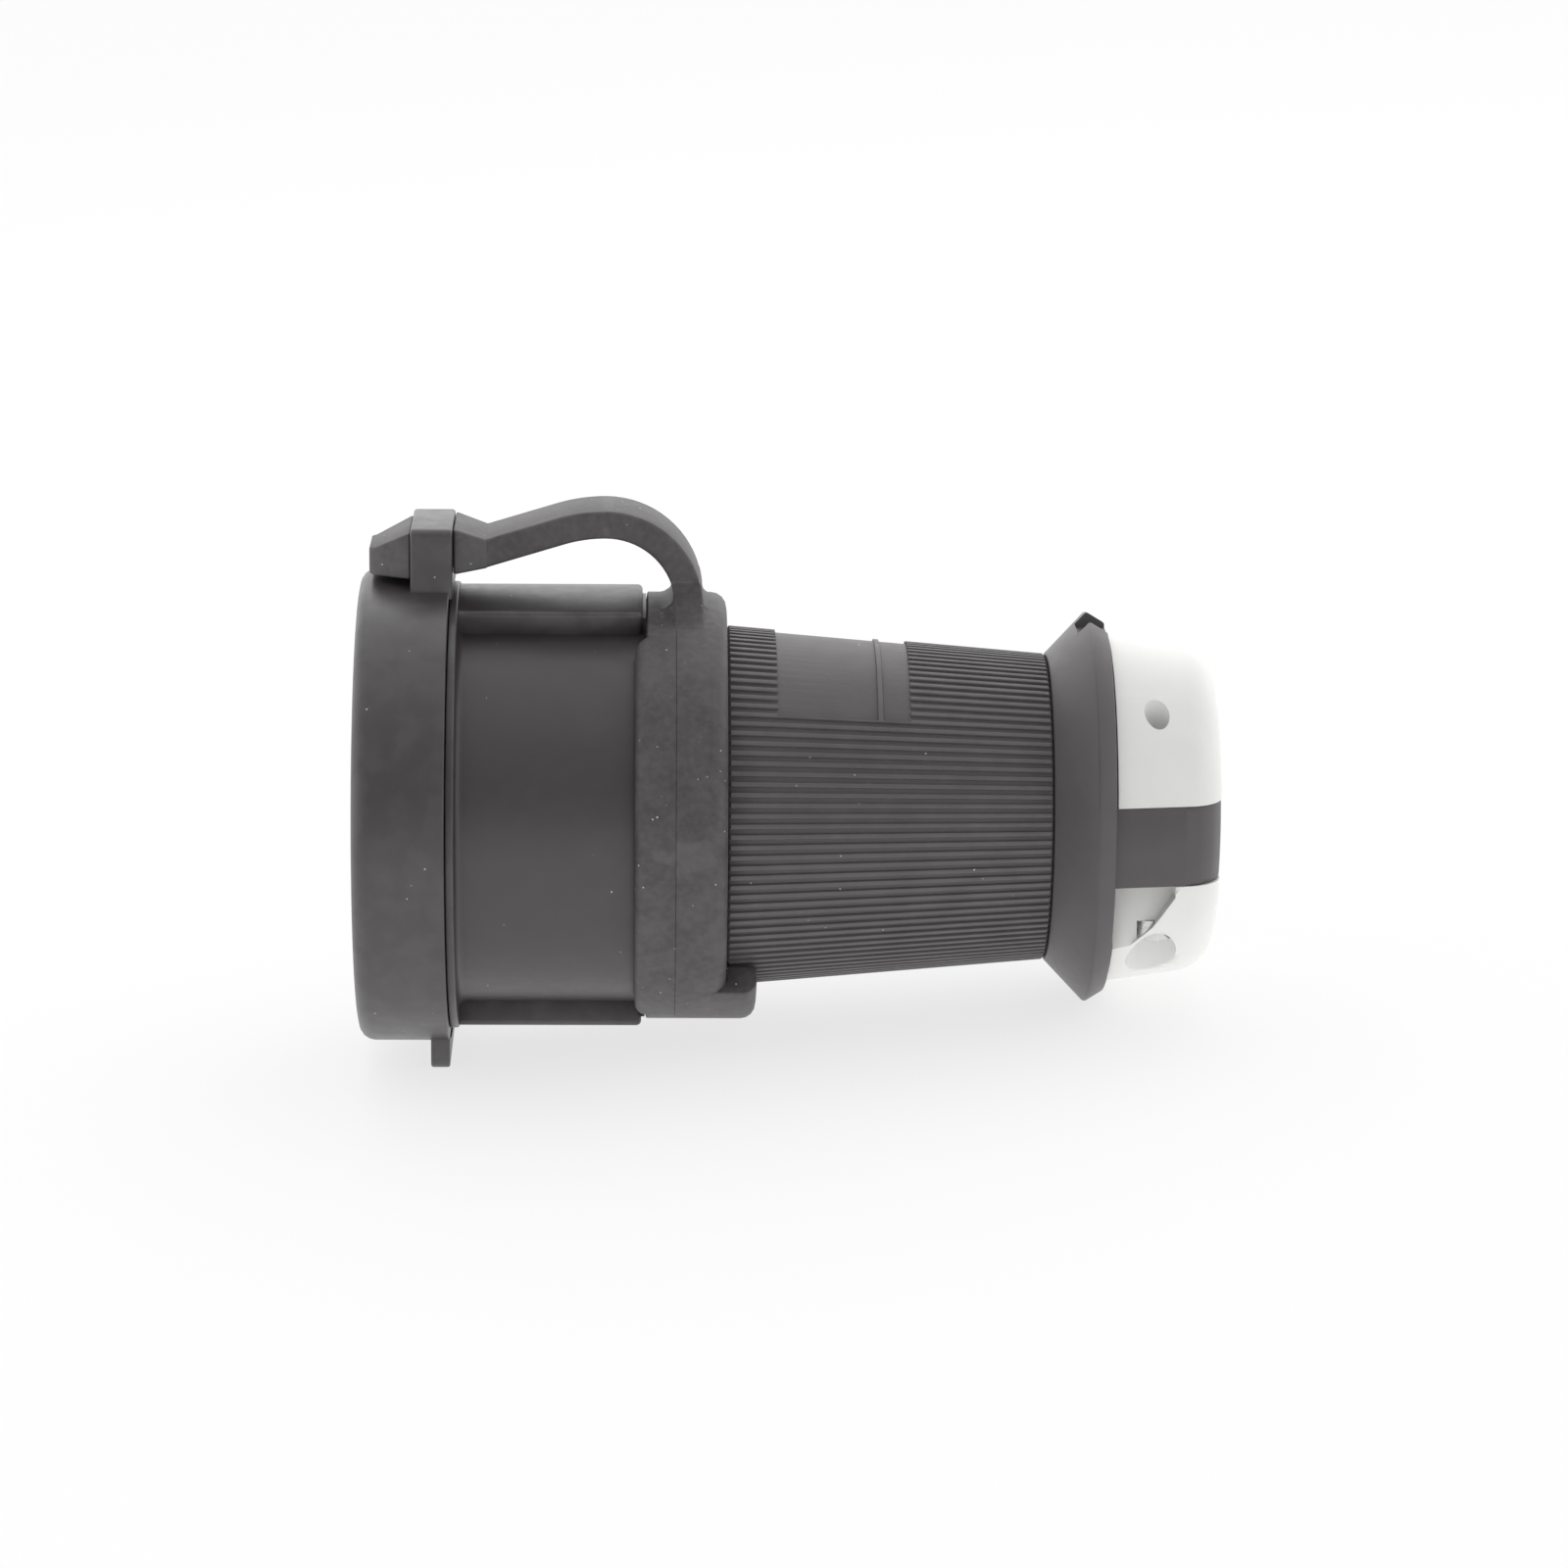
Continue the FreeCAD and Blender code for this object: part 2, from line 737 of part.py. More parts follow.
def make_shroud_gasket():
    """Ring in the spigot's groove, of a round section with flats."""
    body = new_body("shroud_gasket", BODY_START + " + gasket_groove_place")
    middle = f"({SEAT} - gasket_squeeze - gasket_section_radius)"
    reach = "gasket_section_radius"
    corner = "gasket_corner_share * gasket_section_radius"
    steps = [("-", reach, "+", corner), ("-", corner, "+", reach), ("", corner, "+", reach)]
    steps += [("", reach, "+", corner), ("", reach, "-", corner), ("", corner, "-", reach)]
    steps += [("-", corner, "-", reach), ("-", reach, "-", corner)]
    revolve(body, "ring", [(side + along, f"{middle} {way} {out}") for side, along, way, out in steps])
    return body


def make_rear_body():
    """Housing under the grip: spigot, wiring chamber, cable throat, flare and clamp cheeks."""
    body = new_body("rear_body", BODY_START)
    spigot_end = f"(drum_length - {BODY_START})"
    core_end = f"({spigot_end} + grip_length)"
    flare_end = f"({core_end} + flare_length + flare_rim_length)"
    tail_end = f"({flare_end} + jaw_gap + jaw_length)"
    seat_end = f"({flare_end} - end_wall)"
    seat_start = f"({seat_end} - grommet_length)"
    spigot = f"({SEAT} - spigot_fit)"
    shell = revolve(
        body,
        "shell",
        [
            ("0", spigot + " - spigot_wall"),
            ("0", spigot),
            (spigot_end, spigot),
            (spigot_end, CORE_FRONT),
            (core_end, CORE_REAR),
            (core_end, "grip_rear_radius"),
            (core_end + " + flare_length", "flare_radius"),
            (flare_end, "flare_rim_radius"),
            (flare_end, "jaw_front_radius"),
            (tail_end, "jaw_rear_radius"),
            (tail_end, "cable_radius + cable_slack"),
            (seat_end, "cable_radius + cable_slack"),
            (seat_end, "throat_radius"),
            (seat_start, "throat_radius"),
            (seat_start, CORE_REAR + " - core_wall"),
            (spigot_end, CORE_FRONT + " - core_wall"),
            (spigot_end, spigot + " - spigot_wall"),
        ],
    )
    round_edges(body, "cheek_end", shell, ring_edge(tail_end, "jaw_rear_radius"), "jaw_end_round")
    gasket = "(gasket_section_radius + gasket_squeeze)"
    groove(
        body,
        "gasket_groove",
        [
            (f"gasket_groove_place - {gasket}", spigot + " - gasket_groove_depth"),
            (f"gasket_groove_place - {gasket}", spigot + " + spigot_fit"),
            (f"gasket_groove_place + {gasket}", spigot + " + spigot_fit"),
            (f"gasket_groove_place + {gasket}", spigot + " - gasket_groove_depth"),
        ],
    )
    beyond = "(2 * jaw_front_radius)"
    cheeks = polygon_sketch(
        body,
        "cheek_outline",
        "YZ_Plane",
        [
            ("-" + beyond, beyond),
            ("-" + beyond, "cheek_half_height"),
            ("-cheek_inner", "cheek_half_height"),
            ("-cheek_inner", "-cheek_half_height"),
            ("-" + beyond, "-cheek_half_height"),
            ("-" + beyond, "-" + beyond),
            (beyond, "-" + beyond),
            (beyond, "-cheek_half_height"),
            ("cheek_inner", "-cheek_half_height"),
            ("cheek_inner", "cheek_half_height"),
            (beyond, "cheek_half_height"),
            (beyond, beyond),
        ],
        flare_end,
    )
    pocket(body, "cheeks", cheeks, "jaw_gap + jaw_length")
    bosses = circle_sketch(body, "boss_outline", "YZ_Plane", screw_centres(), "boss_radius")
    pad(body, "bosses", bosses, "boss_length")
    cut_screw_holes(body, "boss_length")
    notch = polygon_sketch(
        body,
        "guard_notch_outline",
        "YZ_Plane",
        [
            ("-flare_notch_half_width", "flare_radius - flare_notch_depth"),
            ("flare_notch_half_width", "flare_radius - flare_notch_depth"),
            ("flare_notch_half_width", "flare_radius + flare_notch_depth"),
            ("-flare_notch_half_width", "flare_radius + flare_notch_depth"),
        ],
        flare_end + " - flare_notch_length",
    )
    pocket(body, "guard_notch", notch, "flare_notch_length")
    holes = circle_sketch(
        body,
        "cheek_hole_outline",
        "XY_Plane",
        [
            (flare_end + " + jaw_gap + clamp_screw_place", "clamp_screw_spread"),
            (flare_end + " + jaw_gap + clamp_screw_place", "-clamp_screw_spread"),
        ],
        "clamp_screw_radius + clamp_screw_fit",
        "-2 * cheek_half_height",
    )
    pocket(body, "cheek_holes", holes, "4 * cheek_half_height")
    return body


def toothed_wire(along, crest):
    """Closed ribbed outline round the axis at one place, with flat crests and flat roots."""
    count = int(number("rib_count"))
    root = crest - number("rib_depth")
    pitch = 2 * math.pi / count
    half_crest = pitch * number("rib_crest_share") / 2
    half_root = pitch * (1 - number("rib_crest_share")) / 4
    points = []
    for rib in range(count):
        middle = rib * pitch
        corners = (
            (middle - half_crest, crest),
            (middle + half_crest, crest),
            (middle + pitch / 2 - half_root, root),
            (middle + pitch / 2 + half_root, root),
        )
        for angle, radius in corners:
            points.append(FreeCAD.Vector(along, radius * math.sin(angle), radius * math.cos(angle)))
    points.append(points[0])
    return Part.makePolygon(points)


def turned_face(points):
    """Face with straight sides in the XZ plane, from (place along the axis, radius) corners."""
    corners = [FreeCAD.Vector(along, 0, radius) for along, radius in points]
    return Part.Face(Part.makePolygon(corners + corners[:1]))


def make_grip_sleeve():
    """Tapered elastomer sleeve: straight ribs all round, and a plain panel on top."""
    length = number("grip_length - 2 * grip_end_gap")
    front = number("grip_front_radius")
    rear = number("grip_rear_radius")
    taper = (rear - front) / length

    def crest(along):
        return front + taper * along

    ribbed = Part.makeLoft([toothed_wire(0, front), toothed_wire(length, rear)], True, True)
    wall = number("grip_thickness - grip_fit")
    bore = turned_face(
        [
            (-wall, 0),
            (-wall, crest(-wall) - wall),
            (length + wall, crest(length + wall) - wall),
            (length + wall, 0),
        ]
    )
    axis = (FreeCAD.Vector(0, 0, 0), FreeCAD.Vector(1, 0, 0))
    sleeve = ribbed.cut(bore.revolve(*axis, 360))
    start = number("panel_start")
    end = number("panel_start + panel_length")
    depth = number("rib_depth")
    sweep = number("2 * panel_half_angle")
    turn_back = FreeCAD.Rotation(FreeCAD.Vector(1, 0, 0), -sweep / 2)

    def sector(points):
        solid = turned_face(points).revolve(*axis, sweep)
        solid.Placement = FreeCAD.Placement(FreeCAD.Vector(0, 0, 0), turn_back)
        return solid

    plain = sector(
        [
            (start, crest(start) - depth),
            (start, crest(start) + wall),
            (end, crest(end) + wall),
            (end, crest(end) - depth),
        ]
    )
    line_start = number("panel_start + panel_line_place")
    line_end = line_start + number("panel_line_width")
    height = number("panel_line_height")
    line = sector(
        [
            (line_start, crest(line_start) - wall / 2),
            (line_start, crest(line_start) - depth + height),
            (line_end, crest(line_end) - depth + height),
            (line_end, crest(line_end) - wall / 2),
        ]
    )
    sleeve = sleeve.cut(plain).fuse(line)
    feature = doc.addObject("Part::Feature", "grip_sleeve")
    feature.Label = "grip_sleeve"
    feature.Shape = sleeve
    feature.setExpression("Placement.Base.x", bound("drum_length + grip_end_gap"))
    SUB_PARTS.append(feature)
    doc.recompute()
    return feature


def make_cable_grommet():
    """Rubber cable seal in the throat, with lips round the cable."""
    place = f"({FLARE_END} - end_wall - grommet_length)"
    body = new_body("cable_grommet", place)
    lip = "cable_radius + grommet_lip_slack"
    root = "cable_radius + cable_slack"
    pitch = "grommet_length / grommet_lips"
    inner = [("grommet_length", root)]
    for index in reversed(range(int(number("grommet_lips")))):
        inner.append((f"({index} + 1 / 2) * {pitch}", lip))
        inner.append((f"{index} * {pitch}", root))
    revolve(
        body,
        "seal",
        [("0", "grommet_radius"), ("grommet_length", "grommet_radius")] + inner,
    )
    return body


def make_gland_ring():
    """Stiff ring that backs the cable seal."""
    place = f"({FLARE_END} - end_wall - grommet_length - gland_ring_thickness)"
    body = new_body("gland_ring", place)
    revolve(
        body,
        "ring",
        [
            ("0", "cable_radius + cable_slack"),
            ("0", "gland_ring_radius"),
            ("gland_ring_thickness", "gland_ring_radius"),
            ("gland_ring_thickness", "cable_radius + cable_slack"),
        ],
    )
    return body


def make_closure_cap():
    """Moulded cap over the drum's rim, with its thumb tab and the loop for the strap."""
    body = new_body("closure_cap", CAP_FRONT)
    inner = "cap_radius - cap_side_wall"
    rib_outer = f"{inner} - seal_outer_gap - seal_width - seal_outer_gap"
    cup = revolve(
        body,
        "cup",
        [
            ("0", "0"),
            ("0", "cap_radius"),
            ("cap_depth", "cap_radius"),
            ("cap_depth", inner),
            ("cap_front_wall", inner),
            ("cap_front_wall", rib_outer),
            ("cap_front_wall + seal_rib_height", rib_outer),
            ("cap_front_wall + seal_rib_height", rib_outer + " - seal_rib_width"),
            ("cap_front_wall", rib_outer + " - seal_rib_width"),
            ("cap_front_wall", "0"),
        ],
    )
    round_edges(body, "cup_edge", cup, ring_edge("0", "cap_radius"), "cap_edge_round")
    root = f"({inner} + lug_root_sink)"
    tab = polygon_sketch(
        body,
        "thumb_tab_outline",
        "YZ_Plane",
        [
            ("-tab_half_width", "-" + root),
            ("-tab_half_width", "tab_corner_round - tab_reach"),
            ("tab_corner_round - tab_half_width", "-tab_reach"),
            ("tab_half_width - tab_corner_round", "-tab_reach"),
            ("tab_half_width", "tab_corner_round - tab_reach"),
            ("tab_half_width", "-" + root),
        ],
        "cap_depth - tab_thickness",
    )
    pad(body, "thumb_tab", tab, "tab_thickness")
    top = "cap_radius + lug_height"
    shoulders = [
        ("lug_half_width", top + " - lug_bevel"),
        ("lug_half_width - lug_bevel", top),
        ("lug_bevel - lug_half_width", top),
        ("-lug_half_width", top + " - lug_bevel"),
    ]
    base = polygon_sketch(
        body,
        "strap_loop_outline",
        "YZ_Plane",
        [("-lug_half_width", root), ("lug_half_width", root)] + shoulders,
        "cap_depth - lug_length",
    )
    pad(body, "strap_loop", base, "lug_length")
    under = "cap_radius + lug_clearance_height"
    lip = polygon_sketch(
        body,
        "strap_loop_lip_outline",
        "YZ_Plane",
        [("-lug_half_width", under), ("lug_half_width", under)] + shoulders,
        "cap_depth",
    )
    pad(body, "strap_loop_lip", lip, "lug_overhang")
    half = "(neck_width / 2 + neck_slack)"
    low = f"{NECK} - neck_thickness / 2 - neck_slack"
    high = f"{NECK} + neck_thickness / 2 + neck_slack"
    window = polygon_sketch(
        body,
        "strap_window_outline",
        "YZ_Plane",
        [("-" + half, low), (half, low), (half, high), ("-" + half, high)],
        "cap_depth - lug_length",
    )
    pocket(body, "strap_window", window, "lug_length + lug_overhang")
    return body


def make_cap_seal():
    """Flat rubber ring inside the cap that meets the drum's rim."""
    body = new_body("cap_seal", CAP_FRONT + " + cap_front_wall")
    outer = "cap_radius - cap_side_wall - seal_outer_gap"
    revolve(
        body,
        "ring",
        [
            ("0", outer + " - seal_width"),
            ("0", outer),
            ("seal_thickness", outer),
            ("seal_thickness", outer + " - seal_width"),
        ],
    )
    return body


def loft(body, name, sections):
    """Blends between outlines that stand across the coupler's axis at their own places."""
    sketches = [
        polygon_sketch(body, f"{name}_outline_{index}", "YZ_Plane", points, place)
        for index, (place, points) in enumerate(sections)
    ]
    feature = body.newObject("PartDesign::AdditiveLoft", name)
    feature.Profile = sketches[0]
    feature.Sections = sketches[1:]
    feature.Ruled = True
    return settle(body, feature, True)


def block(low_width, low, high_width, high):
    """Corners of a section centred across the coupler, with heights above the cap's side."""
    low_half = f"({low_width}) / 2"
    high_half = f"({high_width}) / 2"
    low = f"cap_radius + {low}"
    high = f"cap_radius + {high}"
    return [("-" + low_half, low), (low_half, low), (high_half, high), ("-" + high_half, high)]


def strap_path(body):
    """Centre line of the strap: up from the collar, over the arch and down to the cap's loop."""
    sketch = empty_sketch(body, "strap_line", "XZ_Plane", "0")
    rise = number("arch_rise_radius")
    top = number("cap_radius + arch_top_height")
    root = number("strap_root_place")
    crown = number("arch_crown_radius")
    foot = number("arch_foot_radius")
    neck = number(NECK)
    run = root - rise - number("foot_place")
    drop = crown + foot - (top - neck)
    slope = math.atan2(run, drop) - math.acos((crown + foot) / math.hypot(run, drop))
    start = FreeCAD.Vector(root, number(COLLAR_RADIUS) - number("strap_root_sink"), 0)
    rise_start = FreeCAD.Vector(root, top - rise, 0)
    arch_top = FreeCAD.Vector(root - rise, top, 0)
    crown_centre = FreeCAD.Vector(arch_top.x, top - crown, 0)
    foot_end = FreeCAD.Vector(arch_top.x - run, neck, 0)
    foot_centre = FreeCAD.Vector(foot_end.x, neck + foot, 0)

    def on_arc(centre, radius, angle):
        return centre + FreeCAD.Vector(radius * math.sin(angle), radius * math.cos(angle), 0)

    rise_middle = on_arc(FreeCAD.Vector(root - rise, top - rise, 0), rise, math.pi / 4)
    crown_end = on_arc(crown_centre, crown, -slope)
    foot_start = on_arc(foot_centre, -foot, -slope)
    for piece in (
        Part.LineSegment(start, rise_start),
        Part.Arc(rise_start, rise_middle, arch_top),
        Part.Arc(arch_top, on_arc(crown_centre, crown, -slope / 2), crown_end),
        Part.LineSegment(crown_end, foot_start),
        Part.Arc(foot_start, on_arc(foot_centre, -foot, -slope / 2), foot_end),
    ):
        sketch.addGeometry(piece, False)
    return sketch


def add_collar(body):
    """Band round the drum, with a notch at each land and a tongue under the grip."""
    bore = "drum_radius + collar_fit"
    start = "drum_length - collar_length"
    collar = revolve(
        body,
        "collar",
        [
            (start, bore),
            (start, COLLAR_RADIUS),
            ("drum_length", COLLAR_RADIUS),
            ("drum_length", bore),
        ],
    )
    front = round_edges(body, "collar_front", collar, ring_edge(start, COLLAR_RADIUS), "collar_edge_round")
    rear_edge = ring_edge("drum_length", COLLAR_RADIUS)
    round_edges(body, "collar_rear", front, rear_edge, "collar_rear_round")
    half = "(land_half_width + collar_notch_gap)"
    far = f"{COLLAR_RADIUS} * 2"
    for name, low, high in (("upper_notch", "0", far), ("lower_notch", "-" + far, "0")):
        notch = polygon_sketch(
            body,
            name + "_outline",
            "YZ_Plane",
            [("-" + half, low), (half, low), (half, high), ("-" + half, high)],
            start,
        )
        pocket(body, name, notch, "collar_notch_depth")
    inner = "-(grip_front_radius + tongue_grip_gap)"
    root = "drum_length - collar_rear_round"
    end = "drum_length + tongue_length"
    cut = f"{QUARTER_DEPTH} * tongue_corner_round"
    revolve(
        body,
        "tongue",
        [
            ("drum_length", inner),
            (end, inner),
            (end, f"tongue_corner_round - {COLLAR_RADIUS}"),
            (f"{end} - {cut}", f"{cut} - {COLLAR_RADIUS}"),
            (f"{end} - tongue_corner_round", "-" + COLLAR_RADIUS),
            (root, "-" + COLLAR_RADIUS),
            (root, f"-({bore})"),
            ("drum_length", f"-({bore})"),
        ],
        "2 * tongue_half_angle",
    )


def add_strap(body):
    """Strap swept from the collar to the cap's loop, and the root that it grows from."""
    section = polygon_sketch(
        body,
        "strap_section",
        "XY_Plane",
        [
            ("strap_root_place - strap_thickness / 2", "-strap_width / 2"),
            ("strap_root_place + strap_thickness / 2", "-strap_width / 2"),
            ("strap_root_place + strap_thickness / 2", "strap_width / 2"),
            ("strap_root_place - strap_thickness / 2", "strap_width / 2"),
        ],
        COLLAR_RADIUS + " - strap_root_sink",
    )
    strap = body.newObject("PartDesign::AdditivePipe", "strap")
    strap.Profile = section
    strap.Spine = (strap_path(body), [])
    settle(body, strap, True)
    front = "strap_root_place - strap_thickness / 2"
    inside = f"({COLLAR_RADIUS} - collar_thickness / 2)"
    hollow = f"{QUARTER_DEPTH} * strap_root_fillet"
    fillet = polygon_sketch(
        body,
        "root_fillet_outline",
        "XZ_Plane",
        [
            ("strap_root_place", inside),
            ("strap_root_place", COLLAR_RADIUS + " + strap_root_fillet"),
            (front, COLLAR_RADIUS + " + strap_root_fillet"),
            (f"{front} - {hollow}", f"{COLLAR_RADIUS} + {hollow}"),
            (f"{front} - strap_root_fillet", COLLAR_RADIUS),
            (f"{front} - strap_root_fillet", inside),
        ],
    )
    pad(body, "root_fillet", fillet, "strap_width", centred=True)
    foot = f"sqrt({COLLAR_RADIUS} ^ 2 - gusset_half_width ^ 2)"
    sunk = f"(1 - collar_thickness / 2 / {COLLAR_RADIUS})"
    spread = "(gusset_half_width - strap_width / 2)"
    high_knee = COLLAR_RADIUS + " + gusset_high_knee_rise_share * gusset_rise"
    side = [
        ("gusset_half_width / 2", f"sqrt({inside} ^ 2 - gusset_half_width ^ 2 / 4)"),
        (f"gusset_half_width * {sunk}", f"{foot} * {sunk}"),
        ("gusset_half_width", foot),
        (f"strap_width / 2 + gusset_low_knee_share * {spread}", COLLAR_RADIUS),
        (f"strap_width / 2 + gusset_high_knee_share * {spread}", high_knee),
        ("strap_width / 2", COLLAR_RADIUS + " + gusset_rise"),
    ]
    other = [(f"-({across})", up) for across, up in reversed(side)]
    gusset = polygon_sketch(body, "gusset_outline", "YZ_Plane", [("0", inside)] + side + other, front)
    pad(body, "gusset", gusset, "strap_thickness")


def add_barb(body):
    """Shoulder, neck through the cap's loop, and the barb in front of it."""
    shoulder = f"({CAP_REAR} + lug_overhang + shoulder_gap)"
    end_low = "neck_height + shoulder_end_lift - strap_thickness / 2"
    end_high = "neck_height + shoulder_end_lift + strap_thickness / 2"
    loft(
        body,
        "shoulder",
        [
            (shoulder, block("shoulder_width", "shoulder_low", "shoulder_width", "shoulder_high")),
            (f"{shoulder} + shoulder_length", block("strap_width", end_low, "strap_width", end_high)),
        ],
    )
    barb = f"({CAP_REAR} - lug_length - barb_gap)"
    neck_low = "neck_height - neck_thickness / 2"
    neck_high = "neck_height + neck_thickness / 2"
    section = block("neck_width", neck_low, "neck_width", neck_high)
    neck = polygon_sketch(body, "neck_outline", "YZ_Plane", section, barb + " - neck_slack")
    pad(body, "neck", neck, "lug_length + lug_overhang + barb_gap + shoulder_gap + 2 * neck_slack")
    tip_width = "barb_front_width - 2 * barb_tip_inset"
    loft(
        body,
        "barb",
        [
            (f"{barb} - barb_length", block(tip_width, "barb_front_low", tip_width, "barb_front_high")),
            (
                f"{barb} - barb_length + barb_tip_length",
                block("barb_front_width", "barb_front_low", "barb_front_width", "barb_front_high"),
            ),
            (barb, block("barb_rear_width", "barb_rear_low", "barb_rear_top_width", "barb_rear_high")),
        ],
    )


def make_tether():
    """One rubber moulding: collar on the drum, strap, and the barb that holds the cap."""
    body = new_body("tether")
    add_collar(body)
    add_strap(body)
    add_barb(body)
    return body


def jaw_blank(label, saddle_up):
    """Jaw turned to the clamp's outline, cut to its half and bored for the cable."""
    body = new_body(label, JAW_START)
    sign = "" if saddle_up else "-"
    other = "-" if saddle_up else ""
    blank = revolve(
        body,
        "blank",
        [("0", "0"), ("0", "jaw_front_radius"), ("jaw_length", "jaw_rear_radius"), ("jaw_length", "0")],
    )
    round_edges(body, "blank_end", blank, ring_edge("jaw_length", "jaw_rear_radius"), "jaw_end_round")
    beyond = "(2 * jaw_front_radius)"
    split = "(cheek_half_height + jaw_slide_gap)"
    step = "(cheek_inner - jaw_side_gap)"
    half = polygon_sketch(
        body,
        "half_outline",
        "YZ_Plane",
        [
            ("-" + beyond, other + beyond),
            (beyond, other + beyond),
            (beyond, sign + split),
            (step, sign + split),
            (step, sign + "jaw_saddle_height"),
            ("-" + step, sign + "jaw_saddle_height"),
            ("-" + step, sign + split),
            ("-" + beyond, sign + split),
        ],
    )
    pocket(body, "half", half, "jaw_length")
    saddle = circle_sketch(body, "saddle_outline", "YZ_Plane", [("0", "0")], "cable_radius")
    pocket(body, "saddle", saddle, "jaw_length")
    return body


def clamp_centres():
    """Centres of the two clamp screws, seen from above."""
    return [("clamp_screw_place", "clamp_screw_spread"), ("clamp_screw_place", "-clamp_screw_spread")]


def make_upper_jaw():
    """Upper clamp jaw, bored through for the screws, with a seat for each nut."""
    body = jaw_blank("upper_jaw", True)
    holes = circle_sketch(
        body, "screw_holes_outline", "XY_Plane", clamp_centres(), "clamp_screw_radius + clamp_screw_fit"
    )
    pocket(body, "screw_holes", holes, "jaw_front_radius")
    seat = polygon_sketch(body, "nut_seat_outline", "XY_Plane", nut_corners("nut_width / 2 + nut_fit"))
    first = pocket(body, "nut_seat", seat, "cheek_half_height + nut_thickness + 2 * nut_fit")
    repeat_across(body, first)
    return body


def nut_corners(half):
    """Square nut's outline round the left-hand clamp screw."""
    return [
        (f"clamp_screw_place - ({half})", f"clamp_screw_spread - ({half})"),
        (f"clamp_screw_place + {half}", f"clamp_screw_spread - ({half})"),
        (f"clamp_screw_place + {half}", f"clamp_screw_spread + {half}"),
        (f"clamp_screw_place - ({half})", f"clamp_screw_spread + {half}"),
    ]


def repeat_across(body, feature):
    """Mirrors a feature to the coupler's other side."""
    mirrored = body.newObject("PartDesign::Mirrored", feature.Name + "_across")
    mirrored.Originals = [feature]
    mirrored.MirrorPlane = (origin_plane(body, "XZ_Plane"), [""])
    body.Tip = mirrored
    doc.recompute()
    return mirrored


def make_lower_jaw():
    """Lower clamp jaw, with an open recess for each screw's head."""
    body = jaw_blank("lower_jaw", False)
    holes = circle_sketch(
        body, "screw_holes_outline", "XY_Plane", clamp_centres(), "clamp_screw_radius + clamp_screw_fit"
    )
    pocket(body, "screw_holes", holes, "jaw_front_radius", forward=False)
    heads = circle_sketch(
        body,
        "head_recess_outline",
        "XY_Plane",
        clamp_centres(),
        "clamp_head_radius + clamp_head_fit",
        "-clamp_ledge",
    )
    pocket(body, "head_recess", heads, "jaw_front_radius", forward=False)
    split = "-(cheek_half_height + jaw_slide_gap)"
    relief = polygon_sketch(
        body,
        "side_relief_outline",
        "XZ_Plane",
        [
            ("0", split),
            ("relief_length", split),
            ("relief_length", "-relief_step_height"),
            ("relief_waist_length", "-relief_waist_height"),
            ("relief_foot_length", "-relief_foot_height"),
            ("0", "-relief_foot_height"),
        ],
        "clamp_screw_spread + relief_screw_wall",
    )
    repeat_across(body, pocket(body, "side_relief", relief, "jaw_front_radius"))
    return body


def make_clamp_screws():
    """Two screws that draw the jaws together, heads below."""
    body = new_body("clamp_screws", JAW_START)
    low = "(-clamp_ledge - clamp_head_thickness)"
    heads = circle_sketch(body, "heads_outline", "XY_Plane", clamp_centres(), "clamp_head_radius", low)
    pad(body, "heads", heads, "clamp_head_thickness")
    radius = "clamp_screw_radius"
    shanks = circle_sketch(body, "shanks_outline", "XY_Plane", clamp_centres(), radius, "-clamp_ledge")
    pad(body, "shanks", shanks, "clamp_ledge + clamp_screw_tip")
    slot = polygon_sketch(
        body,
        "driver_slot_outline",
        "XY_Plane",
        [
            ("clamp_screw_place - clamp_head_radius", "clamp_screw_spread - screw_slot_width / 2"),
            ("clamp_screw_place + clamp_head_radius", "clamp_screw_spread - screw_slot_width / 2"),
            ("clamp_screw_place + clamp_head_radius", "clamp_screw_spread + screw_slot_width / 2"),
            ("clamp_screw_place - clamp_head_radius", "clamp_screw_spread + screw_slot_width / 2"),
        ],
        low,
    )
    repeat_across(body, pocket(body, "driver_slot", slot, "screw_slot_depth"))
    return body


def make_clamp_nuts():
    """Square nuts caught in the upper jaw."""
    body = new_body("clamp_nuts", JAW_START)
    height = "(cheek_half_height + jaw_slide_gap + nut_fit)"
    outline = polygon_sketch(body, "nut_outline", "XY_Plane", nut_corners("nut_width / 2"), height)
    first = pad(body, "nut", outline, "nut_thickness")
    repeat_across(body, first)
    holes = circle_sketch(
        body, "thread_outline", "XY_Plane", clamp_centres(), "clamp_screw_radius + nut_thread_fit"
    )
    pocket(body, "thread", holes, f"{height} + 2 * nut_thickness")
    return body


def build():
    """Makes every sub-part, from the socket's rim to the cord clamp."""
    poles = ("ground", "line_one", "neutral", "line_two")
    make_socket_shroud()
    make_contact_carrier()
    make_carrier_back()
    for index, pole in enumerate(poles):
        make_contact("contact_" + pole, index)
        make_terminal_clamp("terminal_clamp_" + pole, index)
    make_terminal_screws()
    make_assembly_screws()
    make_shroud_gasket()
    make_rear_body()
    make_grip_sleeve()
    make_cable_grommet()
    make_gland_ring()
    make_closure_cap()
    make_cap_seal()
    make_tether()
    make_upper_jaw()
    make_lower_jaw()
    make_clamp_screws()
    make_clamp_nuts()


def write_parts():
    """Checks every object and shape, then writes one file for each sub-part."""
    doc.recompute()
    for item in doc.Objects:
        if "Invalid" in item.State or "Error" in item.State:
            raise RuntimeError(f"{item.Label} is {item.State}")
    for item in SUB_PARTS:
        if item.Shape.isNull() or not item.Shape.isValid():
            raise RuntimeError(f"{item.Label} has no valid shape")
    os.makedirs("parts", exist_ok=True)
    for item in SUB_PARTS:
        item.Shape.exportStep(f"parts/{item.Label}.step")
        print(f"{item.Label}: {item.Shape.Volume:.1f} mm3, {len(item.Shape.Solids)} solid(s)")


build()
write_parts()
